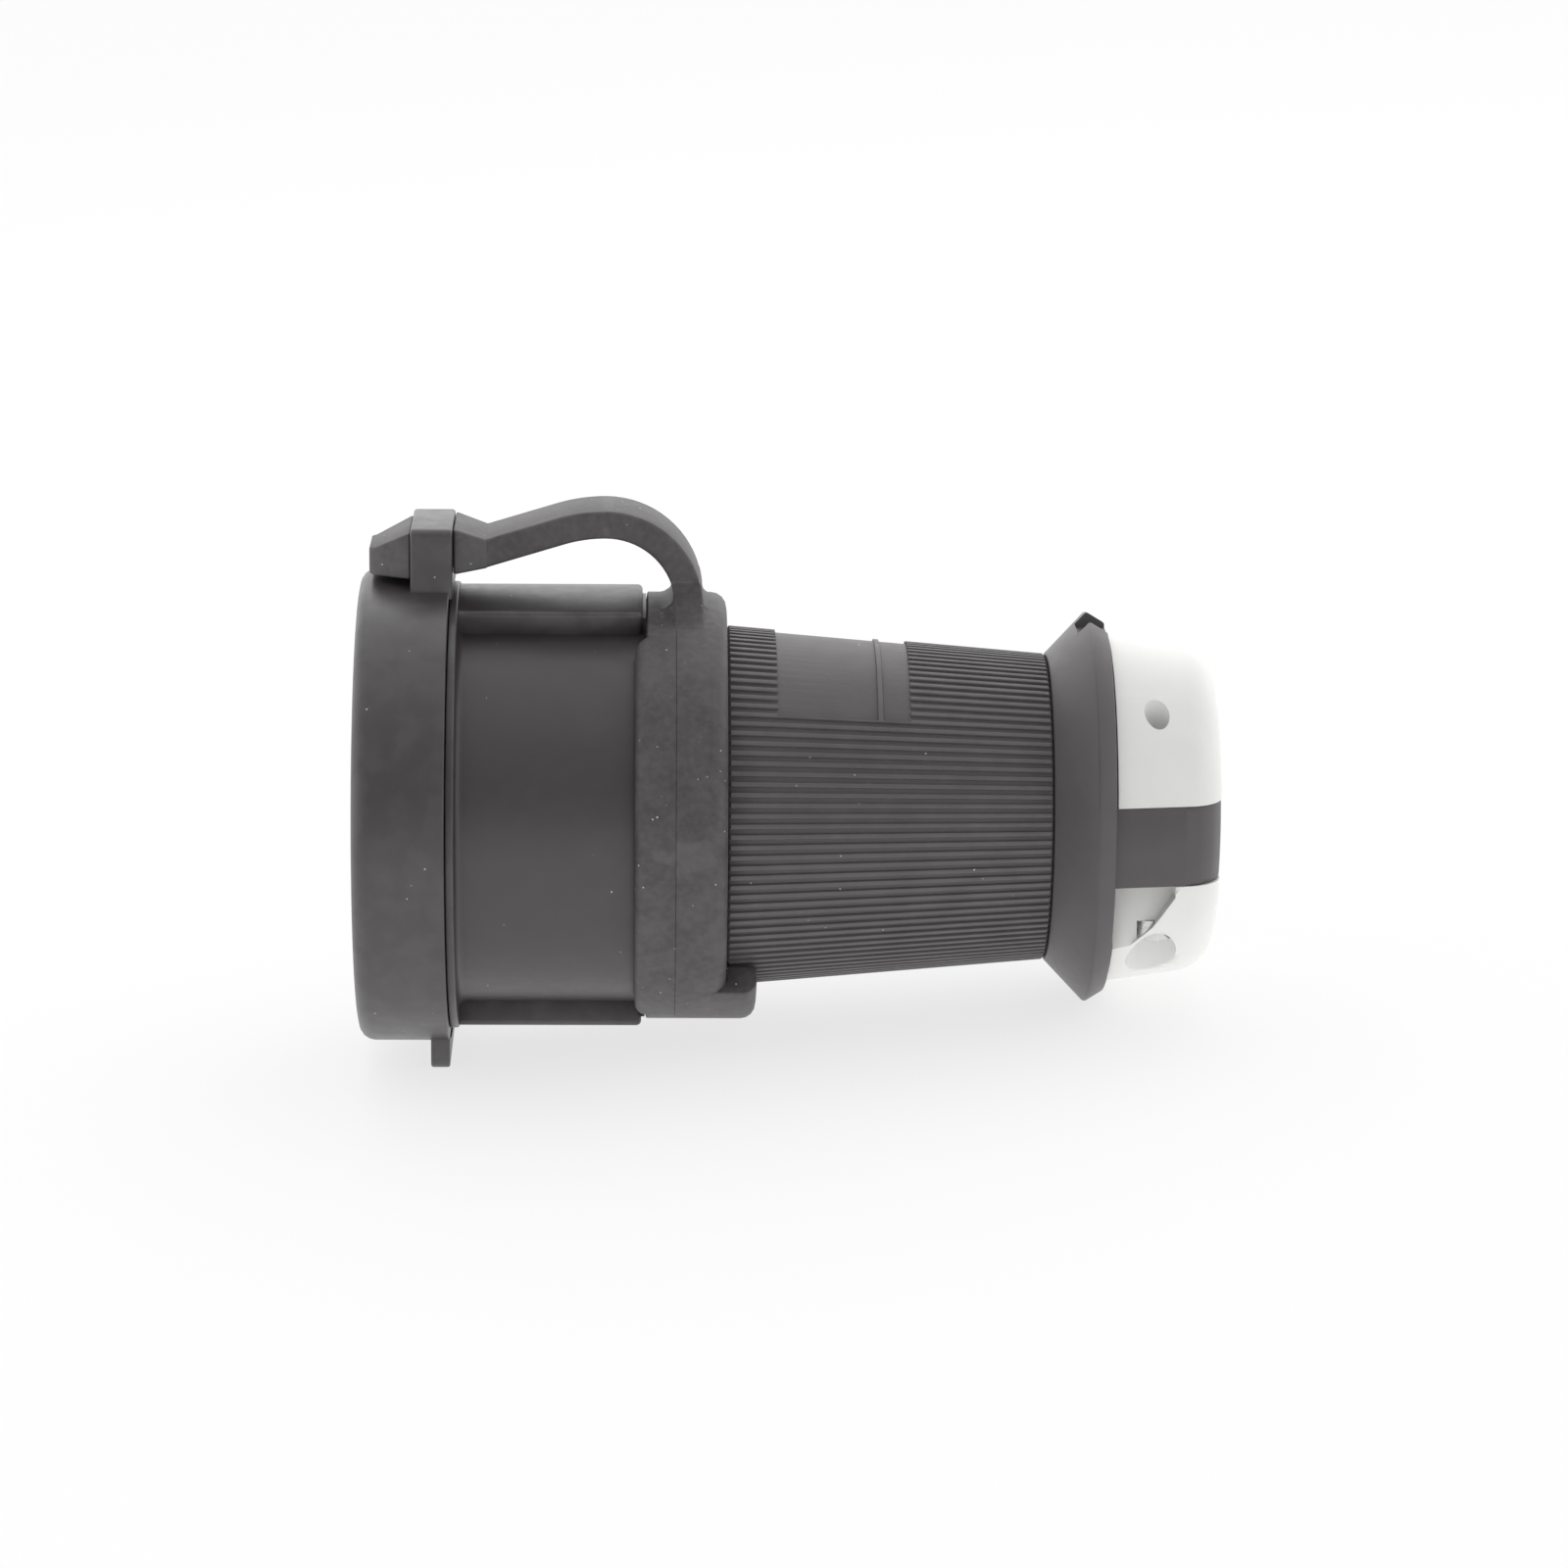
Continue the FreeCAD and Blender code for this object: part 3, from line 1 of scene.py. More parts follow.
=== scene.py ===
"""Looks of an in-line industrial cable coupler with a tethered closure cap and a cord clamp.

Every piece is modelled in millimetres, in the coupler's own frame: +X runs along the coupler
from the cap to the cord clamp and +Z up through the strap. publish() turns a finished piece to
metres.
"""

import json
import logging
import math
from collections.abc import Callable, Iterable
from dataclasses import dataclass
from enum import Enum

import bmesh
import bpy
from mathutils import Matrix, Vector

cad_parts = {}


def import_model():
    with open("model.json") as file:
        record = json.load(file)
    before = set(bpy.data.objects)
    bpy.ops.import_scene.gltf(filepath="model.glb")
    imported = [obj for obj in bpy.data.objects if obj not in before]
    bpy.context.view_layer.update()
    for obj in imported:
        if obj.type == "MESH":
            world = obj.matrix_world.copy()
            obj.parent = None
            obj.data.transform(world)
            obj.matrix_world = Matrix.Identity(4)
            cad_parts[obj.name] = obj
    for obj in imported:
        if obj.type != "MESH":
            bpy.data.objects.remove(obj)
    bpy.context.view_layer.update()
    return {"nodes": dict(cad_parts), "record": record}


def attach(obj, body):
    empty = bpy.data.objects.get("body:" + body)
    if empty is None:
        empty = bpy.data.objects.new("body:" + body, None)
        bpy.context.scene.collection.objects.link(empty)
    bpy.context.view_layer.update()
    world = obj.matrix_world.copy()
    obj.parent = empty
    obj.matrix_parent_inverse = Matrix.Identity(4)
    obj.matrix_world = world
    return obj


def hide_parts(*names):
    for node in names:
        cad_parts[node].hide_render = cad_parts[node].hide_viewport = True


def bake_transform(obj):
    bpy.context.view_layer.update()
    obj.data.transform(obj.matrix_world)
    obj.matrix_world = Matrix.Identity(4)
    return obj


MM = 0.001
WELD = 0.002
CUT_REACH = 1e-5
TOUCH = 1e-3
LOG = logging.getLogger("coupler")

Colour = tuple[float, float, float]
Corner = tuple[float, float, float]
Point = tuple[float, float, float]


class Body(Enum):
    """CAD bodies that the pieces ride on."""

    COUPLER = "coupler_body"
    CAP = "cap"
    UPPER = "upper_clamp"
    LOWER = "lower_clamp"


class Plane(Enum):
    """Planes that an outline is drawn in, as the two axes it runs along."""

    ALONG = (0, 2)
    ACROSS = (1, 2)


# Modelling helpers


def added(bm: bmesh.types.BMesh, before: set[bmesh.types.BMVert]) -> list[bmesh.types.BMVert]:
    """The vertices that the mesh has and didn't have before."""
    return [vert for vert in bm.verts if vert not in before]


def only(items: Iterable, kind: type) -> list:
    """The items of one kind."""
    return [item for item in items if isinstance(item, kind)]


def everything(bm: bmesh.types.BMesh) -> list:
    """All vertices, edges and faces of a mesh."""
    return bm.verts[:] + bm.edges[:] + bm.faces[:]


def edges_among(bm: bmesh.types.BMesh,
                verts: Iterable[bmesh.types.BMVert]) -> list[bmesh.types.BMEdge]:
    """The edges that have both ends among these vertices."""
    members = set(verts)
    return [edge for edge in bm.edges if edge.verts[0] in members and edge.verts[1] in members]


def outline(bm: bmesh.types.BMesh, corners: list[Corner], plane: Plane, closed: bool = True,
            segments: int = 4) -> list[bmesh.types.BMVert]:
    """Draws an outline through corners and rounds them.

    Args:
        bm: The mesh to draw in.
        corners: First axis, second axis and how far the rounding reaches along each side.
        plane: The plane of the outline.
        closed: Whether the last corner joins the first.
        segments: Segments of each rounded corner.

    Returns:
        The vertices that the outline has once it is rounded.
    """
    before = set(bm.verts)
    placed = []
    for first, second, _ in corners:
        place = [0.0, 0.0, 0.0]
        place[plane.value[0]] = first
        place[plane.value[1]] = second
        placed.append(bm.verts.new(place))
    pairs = list(zip(placed, placed[1:]))
    if closed:
        pairs.append((placed[-1], placed[0]))
    for pair in pairs:
        bm.edges.new(pair)
    for vert, (_, _, reach) in zip(placed, corners):
        if reach > 0.0:
            bmesh.ops.bevel(bm, geom=[vert], offset=reach, offset_type="OFFSET",
                            segments=segments, profile=0.5, affect="VERTICES", material=-1,
                            clamp_overlap=True)
    return added(bm, before)


def ordered(loop: list[bmesh.types.BMVert]) -> list[bmesh.types.BMVert]:
    """Puts the vertices of one closed wire in the order in which they follow each other.

    Args:
        loop: The wire's vertices, in any order.

    Returns:
        The same vertices, each one beside the next.
    """
    members = set(loop)
    chain = [loop[0]]
    while len(chain) < len(loop):
        beside = [edge.other_vert(chain[-1]) for edge in chain[-1].link_edges]
        chain.append(next(vert for vert in beside if vert in members and vert not in chain))
    return chain


def turn(bm: bmesh.types.BMesh, corners: list[Corner], steps: int = 128,
         closed: bool = True) -> None:
    """Turns an outline right round the coupler's axis.

    Args:
        bm: The mesh to add to.
        corners: Place along the axis, radius and rounding.
        steps: Steps of the turn.
        closed: Whether the outline's last corner joins its first.
    """
    drawn = outline(bm, corners, Plane.ALONG, closed)
    edges = {edge for vert in drawn for edge in vert.link_edges}
    bmesh.ops.spin(bm, geom=drawn + list(edges), cent=(0, 0, 0), axis=(1, 0, 0), angle=math.tau,
                   steps=steps, use_merge=True, use_duplicate=False)


def turn_part(bm: bmesh.types.BMesh, corners: list[Corner], half_angle: float,
              middle: float = 0.0, steps: int = 24) -> list[bmesh.types.BMVert]:
    """Turns a filled outline through part of a turn, as a closed solid.

    Args:
        bm: The mesh to add to.
        corners: Place along the axis, radius and rounding.
        half_angle: Half of the sweep, in degrees.
        middle: Direction of the middle of the sweep, in degrees from +Z.
        steps: Steps of the sweep.

    Returns:
        The vertices of the new solid.
    """
    before = set(bm.verts)
    face = bm.faces.new(ordered(outline(bm, corners, Plane.ALONG)))
    start = Matrix.Rotation(math.radians(middle - half_angle), 3, "X")
    bmesh.ops.rotate(bm, verts=face.verts[:], cent=(0, 0, 0), matrix=start)
    bmesh.ops.spin(bm, geom=[face] + face.edges[:] + face.verts[:], cent=(0, 0, 0),
                   axis=(1, 0, 0), angle=math.radians(2.0 * half_angle), steps=steps,
                   use_merge=False, use_duplicate=False)
    return added(bm, before)


def plate(bm: bmesh.types.BMesh, corners: list[Corner], start: float,
          length: float) -> list[bmesh.types.BMVert]:
    """Extrudes an outline drawn across the coupler, from one place along the axis.

    Args:
        bm: The mesh to add to.
        corners: Place across, height and rounding.
        start: Where the plate starts along the axis.
        length: How far it reaches.

    Returns:
        The vertices of the new solid.
    """
    before = set(bm.verts)
    face = bm.faces.new(ordered(outline(bm, corners, Plane.ACROSS)))
    bmesh.ops.translate(bm, verts=face.verts[:], vec=(start, 0.0, 0.0))
    grown = bmesh.ops.extrude_face_region(bm, geom=[face], use_keep_orig=True)["geom"]
    bmesh.ops.translate(bm, verts=only(grown, bmesh.types.BMVert), vec=(length, 0.0, 0.0))
    return added(bm, before)


def round_edges(bm: bmesh.types.BMesh, edges: list[bmesh.types.BMEdge], reach: float,
                segments: int) -> None:
    """Rounds edges over a reach, with this many segments."""
    bmesh.ops.bevel(bm, geom=edges, offset=reach, offset_type="OFFSET", segments=segments,
                    profile=0.5, affect="EDGES", material=-1, clamp_overlap=True)


def soften(bm: bmesh.types.BMesh, verts: list[bmesh.types.BMVert], reach: float,
           least_angle: float = 35.0, segments: int = 3) -> None:
    """Rounds the sharp edges of a solid.

    Args:
        bm: The mesh.
        verts: The solid's vertices.
        reach: How far the rounding reaches.
        least_angle: Edges sharper than this many degrees are rounded.
        segments: Segments of the rounding.
    """
    limit = math.radians(least_angle)
    sharp = [edge for edge in edges_among(bm, verts)
             if len(edge.link_faces) == 2 and edge.calc_face_angle(0.0) > limit]
    round_edges(bm, sharp, reach, segments)


def crease(bm: bmesh.types.BMesh, point: Point, normal: Point) -> None:
    """Adds edges along a plane through the whole mesh."""
    bmesh.ops.bisect_plane(bm, geom=everything(bm), dist=CUT_REACH, plane_co=point,
                           plane_no=normal)


def cut_off(bm: bmesh.types.BMesh, point: Point, normal: Point) -> None:
    """Cuts away what lies past a plane and closes the cut.

    Args:
        bm: The mesh to cut.
        point: A point of the plane.
        normal: The plane's normal, which points to the side that goes.
    """
    cut = bmesh.ops.bisect_plane(bm, geom=everything(bm), dist=CUT_REACH, plane_co=point,
                                 plane_no=normal, clear_outer=True)["geom_cut"]
    bmesh.ops.edgenet_fill(bm, edges=only(cut, bmesh.types.BMEdge))


def object_from(bm: bmesh.types.BMesh, name: str,
                material: bpy.types.Material) -> bpy.types.Object:
    """Makes an object of a finished bmesh, in the scene and with one material.

    Args:
        bm: The mesh, in metres. It is freed.
        name: The object's name.
        material: The material of the whole object.

    Returns:
        The object.
    """
    mesh = bpy.data.meshes.new(name)
    bm.to_mesh(mesh)
    bm.free()
    mesh.materials.append(material)
    made = bpy.data.objects.new(name, mesh)
    bpy.context.scene.collection.objects.link(made)
    return made


def publish(bm: bmesh.types.BMesh, name: str, body: Body | None,
            material: bpy.types.Material, stands_for: tuple[str, ...] = (),
            sharp_angle: float = 38.0) -> bpy.types.Object:
    """Finishes a piece: closes its seams, turns it to metres and hangs it on its body.

    Args:
        bm: The modelled piece, in millimetres. It is freed.
        name: The piece's name.
        body: The CAD body it rides on, or None for a piece that rides on no body.
        material: The finish of the whole piece.
        stands_for: CAD nodes that it stands for.
        sharp_angle: Edges sharper than this many degrees stay crisp.

    Returns:
        The finished object.
    """
    bmesh.ops.remove_doubles(bm, verts=bm.verts[:], dist=WELD)
    bmesh.ops.recalc_face_normals(bm, faces=bm.faces[:])
    bmesh.ops.scale(bm, vec=(MM, MM, MM), verts=bm.verts[:])
    piece = object_from(bm, name, material)
    piece.data.shade_smooth()
    piece.data.set_sharp_from_angle(angle=math.radians(sharp_angle))
    if body is not None:
        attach(piece, body.value)
    if stands_for:
        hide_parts(*stands_for)
    LOG.info("%s: %d faces", name, len(piece.data.polygons))
    return piece


# Shared shader effects


class NodeKit:
    """Short calls that add and join shader nodes in one tree."""

    def __init__(self, tree: bpy.types.NodeTree) -> None:
        """Works in the given tree."""
        self.tree = tree

    def add(self, kind: str, **settings: object) -> bpy.types.Node:
        """Adds a node and sets its properties.

        Args:
            kind: The node's type.
            settings: Properties of the node, by name.

        Returns:
            The node.
        """
        node = self.tree.nodes.new(kind)
        for name, value in settings.items():
            setattr(node, name, value)
        return node

    def join(self, source: bpy.types.NodeSocket, target: bpy.types.NodeSocket) -> None:
        """Links an output to an input."""
        self.tree.links.new(source, target)

    def feed(self, source: object, target: bpy.types.NodeSocket) -> None:
        """Links a socket to an input, or sets a plain value on it.

        Args:
            source: An output, or a value.
            target: The input.
        """
        if isinstance(source, bpy.types.NodeSocket):
            self.join(source, target)
        else:
            target.default_value = source

    @staticmethod
    def fill(node: bpy.types.Node, values: dict[str, object]) -> None:
        """Sets plain values on a node's inputs, by their names."""
        for name, value in values.items():
            node.inputs[name].default_value = value

    def noise(self, vector: bpy.types.NodeSocket, scale: object, detail: float = 2.0,
              roughness: float = 0.5) -> bpy.types.NodeSocket:
        """Adds a noise texture.

        Args:
            vector: The place to read it at.
            scale: Its scale, a socket or a number.
            detail: How many finer layers it has.
            roughness: How strong the finer layers are.

        Returns:
            The noise's value.
        """
        node = self.add("ShaderNodeTexNoise")
        self.join(vector, node.inputs["Vector"])
        self.feed(scale, node.inputs["Scale"])
        self.fill(node, {"Detail": detail, "Roughness": roughness})
        return node.outputs["Fac"]

    def remap(self, value: bpy.types.NodeSocket, low: float, high: float, to_low: float = 0.0,
              to_high: float = 1.0) -> bpy.types.NodeSocket:
        """Moves a value from one span to another, smooth at both ends.

        Args:
            value: The value.
            low: Where its span starts.
            high: Where its span ends.
            to_low: What it becomes at the start.
            to_high: What it becomes at the end.

        Returns:
            The moved value.
        """
        node = self.add("ShaderNodeMapRange", interpolation_type="SMOOTHSTEP")
        self.join(value, node.inputs["Value"])
        self.fill(node, {"From Min": low, "From Max": high, "To Min": to_low, "To Max": to_high})
        return node.outputs["Result"]

    def maths(self, operation: str, first: object, second: object) -> bpy.types.NodeSocket:
        """Adds a Math node.

        Args:
            operation: The node's operation.
            first: Its first input, a socket or a number.
            second: Its second input, a socket or a number.

        Returns:
            The result.
        """
        node = self.add("ShaderNodeMath", operation=operation)
        for slot, item in zip(node.inputs, (first, second)):
            self.feed(item, slot)
        return node.outputs["Value"]

    def blend(self, share: bpy.types.NodeSocket, first: object,
              second: object) -> bpy.types.NodeSocket:
        """Mixes two colours.

        Args:
            share: How much of the second shows.
            first: The first colour, a socket or its three values.
            second: The second colour, a socket or its three values.

        Returns:
            The mixed colour.
        """
        node = self.add("ShaderNodeMix", data_type="RGBA")
        self.join(share, node.inputs["Factor"])
        slots = [slot for slot in node.inputs if slot.type == "RGBA"]
        for slot, item in zip(slots, (first, second)):
            self.feed(item if isinstance(item, bpy.types.NodeSocket) else (*item, 1.0), slot)
        return next(slot for slot in node.outputs if slot.type == "RGBA")


def new_material(name: str) -> tuple[bpy.types.Material, NodeKit, bpy.types.Node]:
    """Starts a material.

    Args:
        name: The material's name.

    Returns:
        The material, a kit that works in its tree, and its Principled BSDF.
    """
    made = bpy.data.materials.new(name)
    made.use_nodes = True
    return made, NodeKit(made.node_tree), made.node_tree.nodes["Principled BSDF"]


def effect(name: str, inputs: dict[str, tuple[str, object]], outputs: dict[str, str],
           draw: Callable[[NodeKit, bpy.types.Node, bpy.types.Node], None]
           ) -> bpy.types.NodeTree:
    """Makes a shader effect that several finishes share.

    Args:
        name: The group's name.
        inputs: For each input, its socket type and its usual value.
        outputs: For each output, its socket type.
        draw: Adds the nodes between the group's input and output.

    Returns:
        The node group.
    """
    group = bpy.data.node_groups.new(name, "ShaderNodeTree")
    for label, (kind, value) in inputs.items():
        socket = group.interface.new_socket(name=label, in_out="INPUT", socket_type=kind)
        socket.default_value = value
    for label, kind in outputs.items():
        group.interface.new_socket(name=label, in_out="OUTPUT", socket_type=kind)
    kit = NodeKit(group)
    draw(kit, kit.add("NodeGroupInput"), kit.add("NodeGroupOutput"))
    return group


class Effects:
    """The shared effects: moulded grain, mottled tone, pale specks, and lighter outer edges that
    are partly wear and partly a painted edge highlight.
    """

    def __init__(self) -> None:
        """Builds each effect once."""
        value = "NodeSocketFloat"
        colour = "NodeSocketColor"
        self.grain = effect(
            "moulded_grain",
            {"Scale": (value, 900.0), "Coarseness": (value, 0.4)},
            {"Height": value}, self.draw_grain)
        self.mottle = effect(
            "mottled_tone",
            {"Base": (colour, (0.05, 0.05, 0.05, 1.0)), "Pale": (colour, (0.07, 0.07, 0.07, 1.0)),
             "Scale": (value, 60.0), "Amount": (value, 0.5)},
            {"Color": colour}, self.draw_mottle)
        self.specks = effect(
            "pale_specks",
            {"Scale": (value, 1500.0), "Share": (value, 0.03)},
            {"Mask": value}, self.draw_specks)
        self.edge_wear_and_highlight = effect(
            "worn_and_highlit_edges",
            {"Reach": (value, 0.05), "Breakup": (value, 250.0)},
            {"Mask": value}, self.draw_edge_wear_and_highlight)

    @staticmethod
    def place(kit: NodeKit) -> bpy.types.NodeSocket:
        """Object coordinates."""
        return kit.add("ShaderNodeTexCoord").outputs["Object"]

    @staticmethod
    def draw_grain(kit: NodeKit, given: bpy.types.Node, result: bpy.types.Node) -> None:
        """Draws fine spark-eroded grain with a soft, broader unevenness under it.

        Args:
            kit: Works in the group's tree.
            given: The group's input.
            result: The group's output.
        """
        fine = kit.noise(Effects.place(kit), given.outputs["Scale"], detail=3.0)
        wide_scale = kit.maths("MULTIPLY", given.outputs["Scale"], 0.18)
        broad = kit.noise(Effects.place(kit), wide_scale)
        raised = kit.maths("MULTIPLY", broad, given.outputs["Coarseness"])
        kit.join(kit.maths("ADD", fine, raised), result.inputs["Height"])

    @staticmethod
    def draw_mottle(kit: NodeKit, given: bpy.types.Node, result: bpy.types.Node) -> None:
        """Draws slow, cloudy change between two tones of one colour.

        Args:
            kit: Works in the group's tree.
            given: The group's input.
            result: The group's output.
        """
        cloud = kit.noise(Effects.place(kit), given.outputs["Scale"], detail=5.0, roughness=0.62)
        share = kit.maths("MULTIPLY", kit.remap(cloud, 0.35, 0.68), given.outputs["Amount"])
        kit.join(kit.blend(share, given.outputs["Base"], given.outputs["Pale"]),
                 result.inputs["Color"])

    @staticmethod
    def draw_specks(kit: NodeKit, given: bpy.types.Node, result: bpy.types.Node) -> None:
        """Draws scattered tiny specks, in a few of the cells of a cellular pattern.

        Args:
            kit: Works in the group's tree.
            given: The group's input.
            result: The group's output.
        """
        cells = kit.add("ShaderNodeTexVoronoi")
        kit.join(Effects.place(kit), cells.inputs["Vector"])
        kit.join(given.outputs["Scale"], cells.inputs["Scale"])
        near = kit.remap(cells.outputs["Distance"], 0.26, 0.12)
        chance = kit.add("ShaderNodeSeparateColor")
        kit.join(cells.outputs["Color"], chance.inputs["Color"])
        chosen = kit.maths("LESS_THAN", chance.outputs["Red"], given.outputs["Share"])
        bright = kit.maths("MULTIPLY", chosen, chance.outputs["Green"])
        kit.join(kit.maths("MULTIPLY", near, bright), result.inputs["Mask"])

    @staticmethod
    def draw_edge_wear_and_highlight(kit: NodeKit, given: bpy.types.Node, result: bpy.types.Node) -> None:
        """Draws outer edges, to be lightened partly as wear and partly as a painted edge
        highlight, broken up so that they look handled.

        Args:
            kit: Works in the group's tree.
            given: The group's input.
            result: The group's output.
        """
        pointed = kit.add("ShaderNodeNewGeometry").outputs["Pointiness"]
        above = kit.maths("SUBTRACT", pointed, 0.5)
        edge = kit.maths("DIVIDE", above, given.outputs["Reach"])
        broken = kit.noise(Effects.place(kit), given.outputs["Breakup"])
        patchy = kit.remap(broken, 0.35, 0.65, 0.25, 1.0)
        worn_and_highlit = kit.add("ShaderNodeClamp")
        kit.join(kit.maths("MULTIPLY", edge, patchy), worn_and_highlit.inputs["Value"])
        kit.join(worn_and_highlit.outputs["Result"], result.inputs["Mask"])


# Finishes


@dataclass(frozen=True)
class Moulding:
    """A moulded plastic or rubber: two close tones, a fine grain, specks, and outer edges
    lightened partly as handling wear and partly as a painted edge highlight.
    """

    name: str
    base: Colour
    pale: Colour
    roughness: float
    grain_scale: float
    grain_depth: float
    mottle_scale: float = 60.0
    mottle_amount: float = 0.5
    speck_share: float = 0.0
    speck_colour: Colour = (0.62, 0.62, 0.62)
    # How strongly outer edges are lightened: partly wear, partly a painted edge highlight.
    edge_wear_and_highlight: float = 0.35
    edge_wear_and_highlight_colour: Colour = (0.16, 0.155, 0.155)
    specular: float = 0.5
    translucence: float = 0.0
    scatter: tuple[float, float, float] = (0.002, 0.002, 0.0018)
    scatter_scale: float = 0.6
    smoother: float = 0.02
    rougher: float = 0.03

    def colour(self, kit: NodeKit, effects: Effects) -> bpy.types.NodeSocket:
        """Mixes the two tones, the lighter outer edges (part wear, part painted edge highlight)
        and the specks.

        Args:
            kit: Works in the material's tree.
            effects: The shared effects.

        Returns:
            The colour.
        """
        tone = kit.add("ShaderNodeGroup", node_tree=effects.mottle)
        kit.fill(tone, {"Base": (*self.base, 1.0), "Pale": (*self.pale, 1.0),
                        "Scale": self.mottle_scale, "Amount": self.mottle_amount})
        colour = tone.outputs["Color"]
        # Outer edges painted lighter: partly wear, partly a painted edge highlight.
        if self.edge_wear_and_highlight > 0.0:
            worn_and_highlit = kit.add("ShaderNodeGroup", node_tree=effects.edge_wear_and_highlight)
            share = kit.maths("MULTIPLY", worn_and_highlit.outputs["Mask"], self.edge_wear_and_highlight)
            colour = kit.blend(share, colour, self.edge_wear_and_highlight_colour)
        if self.speck_share > 0.0:
            specks = kit.add("ShaderNodeGroup", node_tree=effects.specks)
            kit.fill(specks, {"Share": self.speck_share})
            colour = kit.blend(specks.outputs["Mask"], colour, self.speck_colour)
        return colour

    def material(self, effects: Effects) -> bpy.types.Material:
        """Builds the material.

        Args:
            effects: The shared effects.

        Returns:
            The material.
        """
        made, kit, shader = new_material(self.name)
        kit.join(self.colour(kit, effects), shader.inputs["Base Color"])
        grain = kit.add("ShaderNodeGroup", node_tree=effects.grain)
        kit.fill(grain, {"Scale": self.grain_scale})
        bump = kit.add("ShaderNodeBump")
        kit.fill(bump, {"Strength": 1.0, "Distance": self.grain_depth})
        kit.join(grain.outputs["Height"], bump.inputs["Height"])
        kit.join(bump.outputs["Normal"], shader.inputs["Normal"])
        patches = kit.noise(Effects.place(kit), self.mottle_scale * 2.0)
        kit.join(kit.remap(patches, 0.3, 0.7, self.roughness - self.smoother,
                           self.roughness + self.rougher), shader.inputs["Roughness"])
        kit.fill(shader, {"Specular IOR Level": self.specular})
        if self.translucence > 0.0:
            kit.fill(shader, {"Subsurface Weight": self.translucence,
                              "Subsurface Radius": self.scatter,
                              "Subsurface Scale": self.scatter_scale})
        return made


@dataclass(frozen=True)
class PlatedMetal:
    """A rolled or plated metal: fine streaks along the coupler and uneven tarnish."""

    name: str
    base: Colour
    dull: Colour
    roughness: float
    tarnish_scale: float = 320.0
    streak_scale: float = 4000.0
    streak_stretch: float = 0.05
    streak_depth: float = 0.00002
    streak_strength: float = 0.4
    smoother: float = 0.08
    rougher: float = 0.1

    def material(self, effects: Effects) -> bpy.types.Material:
        """Builds the material.

        Args:
            effects: The shared effects.

        Returns:
            The material.
        """
        made, kit, shader = new_material(self.name)
        tone = kit.add("ShaderNodeGroup", node_tree=effects.mottle)
        kit.fill(tone, {"Base": (*self.base, 1.0), "Pale": (*self.dull, 1.0),
                        "Scale": self.tarnish_scale})
        kit.join(tone.outputs["Color"], shader.inputs["Base Color"])
        stretch = kit.add("ShaderNodeMapping")
        kit.fill(stretch, {"Scale": (self.streak_stretch, 1.0, 1.0)})
        kit.join(Effects.place(kit), stretch.inputs["Vector"])
        streaks = kit.noise(stretch.outputs["Vector"], self.streak_scale)
        kit.join(kit.remap(streaks, 0.3, 0.7, self.roughness - self.smoother,
                           self.roughness + self.rougher), shader.inputs["Roughness"])
        bump = kit.add("ShaderNodeBump")
        kit.fill(bump, {"Strength": self.streak_strength, "Distance": self.streak_depth})
        kit.join(streaks, bump.inputs["Height"])
        kit.join(bump.outputs["Normal"], shader.inputs["Normal"])
        kit.fill(shader, {"Metallic": 1.0})
        return made


class Finishes:
    """All the finishes, built once, by name. Each slot of the record has one of its own name."""

    def __init__(self) -> None:
        """Builds each material."""
        effects = Effects()
        recipes = (
            Moulding("black_nylon", (0.032, 0.0270, 0.0290), (0.042, 0.0365, 0.0388),
                     0.42, 1400.0, 0.00001, mottle_scale=240.0, mottle_amount=0.35,
                     speck_share=0.007, edge_wear_and_highlight=0.25, specular=0.75),
            # The rear housing's black nylon, painted lighter than the cap's to stand in for the
            # light that falls on the hand guard's flare.
            Moulding("rear_nylon_painted_light", (0.074, 0.0665, 0.0695), (0.090, 0.0820, 0.0852),
                     0.46, 1400.0, 0.00001, mottle_scale=260.0, mottle_amount=0.4,
                     speck_share=0.003, edge_wear_and_highlight=0.05),
            Moulding("tether_rubber", (0.043, 0.0380, 0.0402), (0.074, 0.0675, 0.0705),
                     0.58, 900.0, 0.00005, mottle_scale=900.0, mottle_amount=0.7,
                     speck_share=0.045, edge_wear_and_highlight=0.3, specular=0.6),
            Moulding("grip_elastomer", (0.086, 0.0780, 0.0815), (0.110, 0.1010, 0.1045),
                     0.54, 1200.0, 0.00003, mottle_scale=200.0, speck_share=0.008, edge_wear_and_highlight=0.25),
            Moulding("seal_rubber", (0.016, 0.016, 0.016), (0.024, 0.024, 0.024),
                     0.6, 900.0, 0.00003, edge_wear_and_highlight=0.0),
            Moulding("white_nylon", (0.77, 0.77, 0.75), (0.83, 0.83, 0.815),
                     0.42, 900.0, 0.00001, edge_wear_and_highlight=0.0, translucence=0.12),
            Moulding("face_plastic", (0.045, 0.044, 0.046), (0.054, 0.053, 0.055),
                     0.5, 1000.0, 0.00003, mottle_scale=300.0, mottle_amount=0.4, edge_wear_and_highlight=0.0),
            PlatedMetal("contact_brass", (0.78, 0.58, 0.26), (0.62, 0.43, 0.18), 0.28),
            PlatedMetal("terminal_steel", (0.62, 0.61, 0.59), (0.50, 0.49, 0.47), 0.34),
            PlatedMetal("screw_steel", (0.60, 0.60, 0.60), (0.47, 0.47, 0.47), 0.30),
        )
        self.by_name = {recipe.name: recipe.material(effects) for recipe in recipes}

    def __getitem__(self, name: str) -> bpy.types.Material:
        """The material of a finish."""
        return self.by_name[name]


# Sub-assemblies


